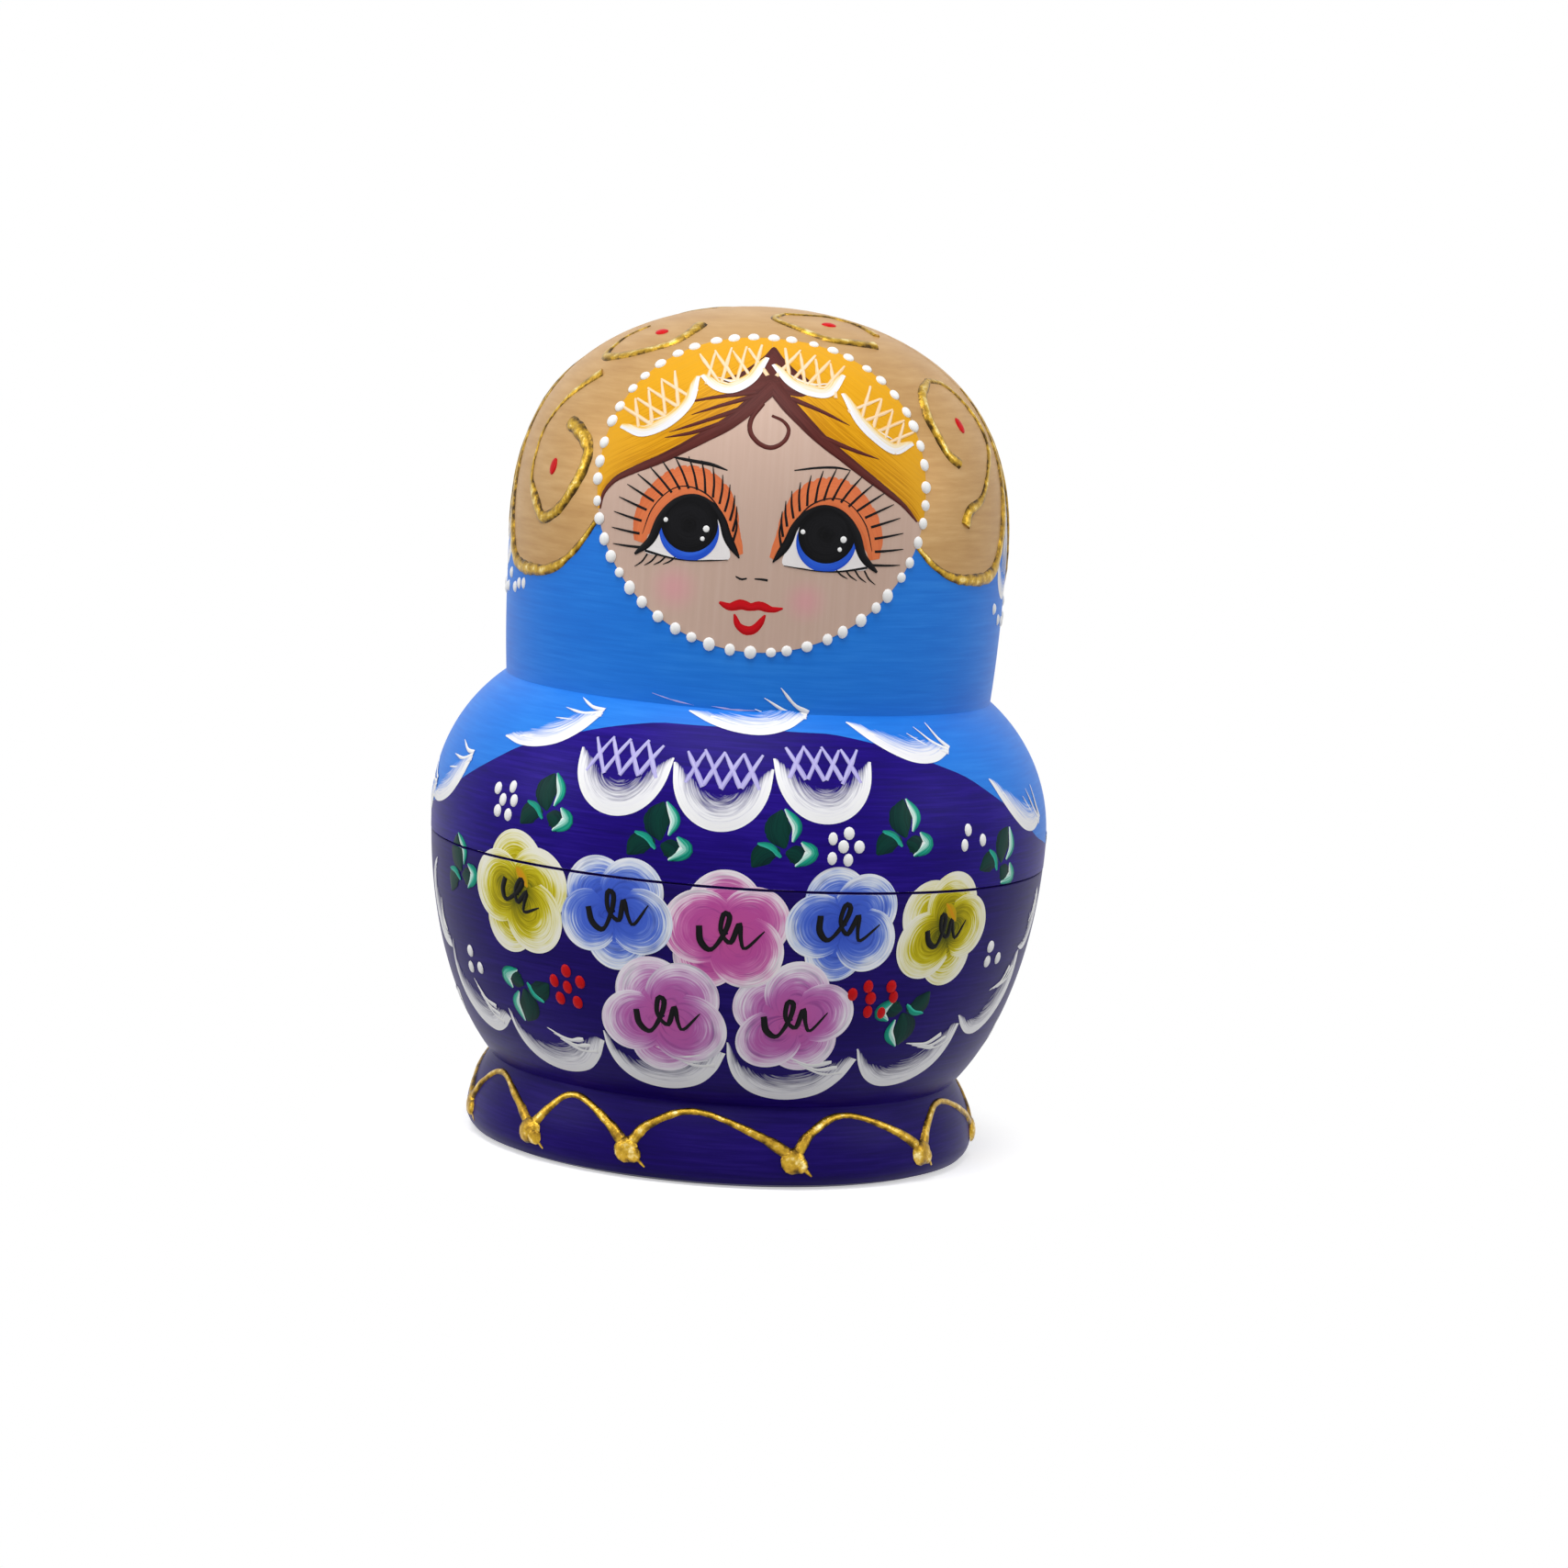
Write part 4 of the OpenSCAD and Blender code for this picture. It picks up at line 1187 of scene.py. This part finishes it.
# %% Gilding of the cap
LOOP_LEFT = [(5, 119.9), (10, 118.8), (15, 116.5), (15.5, 113.3), (13, 109.6), (9, 106.1), (3, 104.2),
             (-1, 106.4), (-6, 110.2), (-7, 114.3), (-7, 118.5), (-3, 123.5), (5, 128.1)]
LOOP_RIGHT_A = [(0.5, 130.3), (-7.5, 128.3), (-10.5, 125.0), (-9.5, 122.0), (-7.5, 119.2), (-3.5, 117.5)]
LOOP_RIGHT_B = [(0.5, 130.3), (8.5, 129.7), (13.5, 127.2), (16.5, 123.2), (15.5, 119.8), (10.5, 116.2),
                (4.5, 111.9), (-1.5, 110.0), (-3.5, 107.7)]
# The loops of a lobe with their widths, and the place and tilt of its red drop
LOBE_LEFT = (((LOOP_LEFT, (2.4, 2.6, 2.5, 2.2, 2.0, 2.0, 2.3, 1.3, 1.0, 0.9, 1.0, 1.6, 2.0)),),
             (4, 112.6), -8)
LOBE_RIGHT = (((LOOP_RIGHT_A, (1.2, 1.8, 2.1, 2.1, 1.8, 2.0)),
               (LOOP_RIGHT_B, (1.1, 1.1, 1.2, 1.5, 1.4, 1.2, 1.4, 1.8, 2.4))), (2.5, 123.5), 10)
CROWN_LOOP_A = [(4.6, 4.2), (5.8, 1.0), (5.8, -3.1), (2.0, -6.4), (-2.5, -8.2), (-6.2, -8.4), (-7.4, -6.0),
                (-8.0, -2.5), (-6.5, 1.5)]
CROWN_LOOP_B = [(-4.6, 5.6), (-8.3, 2.1), (-7.1, -2.8), (-4.5, -6.3), (-0.4, -7.2), (4.2, -8.0)]
CROWN_LINE_B = [(-4.6, 5.6), (3.1, 5.2), (7.4, 1.0), (8.2, -4.5)]
# Degrees and height of the middles, and lines, widths and rises round each
CROWN_MOTIFS = (
    ((-52, 128), 135.1, ((CROWN_LOOP_A, (2.6, 2.2, 1.8, 1.7, 1.9, 2.0, 1.2, 0.9, 0.8), 0.5),)),
    ((37, 217), 138.0, ((CROWN_LOOP_B, (1.0, 1.3, 1.6, 1.9, 2.1, 2.4), 0.5),
                        (CROWN_LINE_B, (1.0, 0.9, 1.0, 1.6), 0.4))))


def gild(part, points, widths, lift=0.06, rise=0.5, rough=0.06, last=10):
    stroke(f"{part}_gilding", "gilded_relief", points, widths, lift, rise, last=last, bead=True, rough=rough)


def red_drop(at, across, tall, turned=0.0):
    dot("cap_drops", "berry_red", at, across, tall, turned, lift=0.06, rise=0.12)


for k in range(len(LOBES)):
    gild("cap", on_body(lobe_edge(k)), (0.9, 1.2, 1.9, 2.5, 2.5, 1.9, 1.2, 0.9), rise=0.45)
for k, (mid, _) in enumerate(LOBES):
    loops, (a, z), tilt = LOBE_LEFT if k % 2 == 0 else LOBE_RIGHT
    for line, widths in loops:
        gild("cap", [body(mid + a0, z0) for a0, z0 in line], widths)
    red_drop(body(mid + a, z), 1.9, 2.9, tilt)
for places, height, motif in CROWN_MOTIFS:
    for az in places:
        middle = body(az, height)
        for line, widths, rise in motif:
            gild("cap", around(middle, line), widths, rise=rise)
        red_drop(middle, 2.8, 1.9)
print("marks with the gilded cap:", len(marks))

# %% Gilding of the foot
FOOT_BLOBS = (-46, -20, 17, 52, 86, 119, 152, 185, 218, 251, 283, 314)
BLOB_MM = 4.3
for a0, a1 in zip(FOOT_BLOBS, FOOT_BLOBS[1:]):
    span = a1 - a0
    arc = [(a0 + 1, 6.2), (a0 + 4, 9.0), (a0 + 0.3 * span, 11.5), (a0 + 0.5 * span, 11.4),
           (a0 + 0.8 * span, 8.6), (a1 - 1, 6.0)]
    gild("foot", on_body(arc), (2.0, 1.4, 1.1, 1.1, 1.4, 2.0), 0.03)
    fat = BLOB_MM * chance.uniform(0.85, 1.15)
    dot("foot_gilding", "gilded_relief", body(a0, 4.9), fat, 4.4, 25, rise=0.2)
    dot("foot_gilding", "gilded_relief", body(a0 + 1.4, 4.4), 0.8 * fat, 2.9, -40, rise=0.24)
    tail = [(a0 + 1, 4.4), (a0 + 3, 3.4), (a0 + 4.5, 2.4)]
    gild("foot", on_body(tail), (1.6, 0.7, 0.3), 0.02, 0.25, 0.1, 3)
print("marks in the whole painting:", len(marks))

# %% [markdown]
# Now the painting is laid on the dolls. On the largest one, each group of marks is a piece of its
# own. On the smaller dolls, all that is on one half makes one piece, and the marks that would be
# finer than a brush can paint are left out. A mark that crosses the seam is divided there, because
# the halves part: its points beyond the seam are drawn back to the seam line, and where nothing
# but that line is left of a mark, it is skipped.

# %% Lay the painting on every doll
POINT_GAP = {1: 0.45, 2: 0.8, 3: 0.9, 4: 1.0, 5: 1.2, 6: 1.3, 7: 1.4, 8: 1.6, 9: 1.8, 10: 2.0}
# Widths from which a stroke is broad, share of the thickness on small dolls, height of a lost mark
BROAD, THINNER, FLAT = 2.5, 0.7, 0.1
SMOOTH = math.radians(40)


def extent(mark):
    """The lowest and highest way up that a mark reaches."""
    if mark["kind"] == "dot":
        return mark["at"][1] - mark["tall"] / 2, mark["at"][1] + mark["tall"] / 2
    if mark["kind"] == "stroke":
        ways, more = mark["line"][2], max(mark["widths"])
    else:
        ways, more = np.concatenate([mark["edge"][2], mark["other"][2]]), 0.0
    return ways.min() - more, ways.max() + more


def paint(name, chosen, n, low, high):
    """One mesh piece from marks, on doll n, between two ways up; returns it, or None if none is left."""
    points, faces, shares, lengths, finish_of, slots = [], [], [], [], [], []
    for seed, mark in chosen:
        bottom, top = extent(mark)
        if top <= low or bottom >= high or (mark["kind"] == "dot" and not low < mark["at"][1] < high):
            continue
        broad = mark.get("bead") or max(mark.get("widths", (0.0,))) > BROAD
        thin, across = (1.0, 7 if broad else 5) if n == 1 else (THINNER, 5 if broad else 3)
        mesh_of = MESH_OF[mark["kind"]]
        laid, quads, ends, whole, real = mesh_of(mark, seed, POINT_GAP[n], across, low, high, thin)
        if np.ptp(laid[:, 2]) < FLAT:
            continue
        spots, same = np.unique(np.round(laid, 4), axis=0, return_inverse=True)
        same = same.reshape(-1)
        if mark["finish"] not in slots:
            slots.append(mark["finish"])
        corners = np.sort(same[quads], axis=1)
        sound = (corners[:, 1:] != corners[:, :-1]).all(axis=1)
        shares.append(whole[quads[sound]].reshape(-1, 2))
        lengths.append(real[quads[sound]].reshape(-1, 2))
        start = sum(len(p) for p in points)
        laid_faces = (same[quads[sound]] + start).tolist()
        for face in quads[~sound].tolist() + ends:
            kept = [k for j, k in enumerate(face) if same[k] != same[face[j - 1]]]
            if len(set(same[kept])) == len(kept) > 2:
                laid_faces.append((same[kept] + start).tolist())
                shares.append(whole[kept])
                lengths.append(real[kept])
        points.append((spots * size(n) + (0, 0, base_z(n))) * MM)
        faces += laid_faces
        finish_of += [slots.index(mark["finish"])] * len(laid_faces)
    if not faces:
        return None
    mesh = bpy.data.meshes.new(name)
    mesh.from_pydata(np.vstack(points), [], faces)
    for layer, values in (("stroke", shares), ("bristle", lengths)):
        mesh.uv_layers.new(name=layer).data.foreach_set("uv", np.vstack(values).reshape(-1))
    for finish in slots:
        mesh.materials.append(FINISH[finish])
    mesh.polygons.foreach_set("material_index", finish_of)
    mesh.update()
    piece = bpy.data.objects.new(name, mesh)
    scene.collection.objects.link(piece)
    bpy.ops.object.select_all(action="DESELECT")
    bpy.context.view_layer.objects.active = piece
    piece.select_set(True)
    bpy.ops.object.shade_smooth_by_angle(angle=SMOOTH)
    return piece


def halves(n):
    """The bodies of doll n, with the ways up between which each of them is painted."""
    if n == DOLLS:
        return {"doll_10_core": (0.0, CROWN)}
    return {f"doll_{n}_lower": (0.0, way_up(SEAM_Z - EDGE)),
            f"doll_{n}_upper": (way_up(SEAM_Z + EDGE + SEAM_GAP / size(n)), CROWN)}


triangles = {}
for n in range(1, DOLLS + 1):
    mine = [(k, mark) for k, mark in enumerate(marks) if mark["last"] >= n]
    groups = list(dict.fromkeys(mark["group"] for mark in marks)) if n == 1 else ["painting"]
    for half, (low, high) in halves(n).items():
        for group in groups:
            chosen = [(k, mark) for k, mark in mine if n > 1 or mark["group"] == group]
            piece = paint(f"{half}_{group}", chosen, n, low, high)
            if piece:
                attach(piece, half)
                triangles[piece.name] = sum(len(f.vertices) - 2 for f in piece.data.polygons)
print("painted pieces:", len(triangles), "triangles:", sum(triangles.values()))
print("largest:", sorted(triangles.items(), key=lambda item: -item[1])[:6])
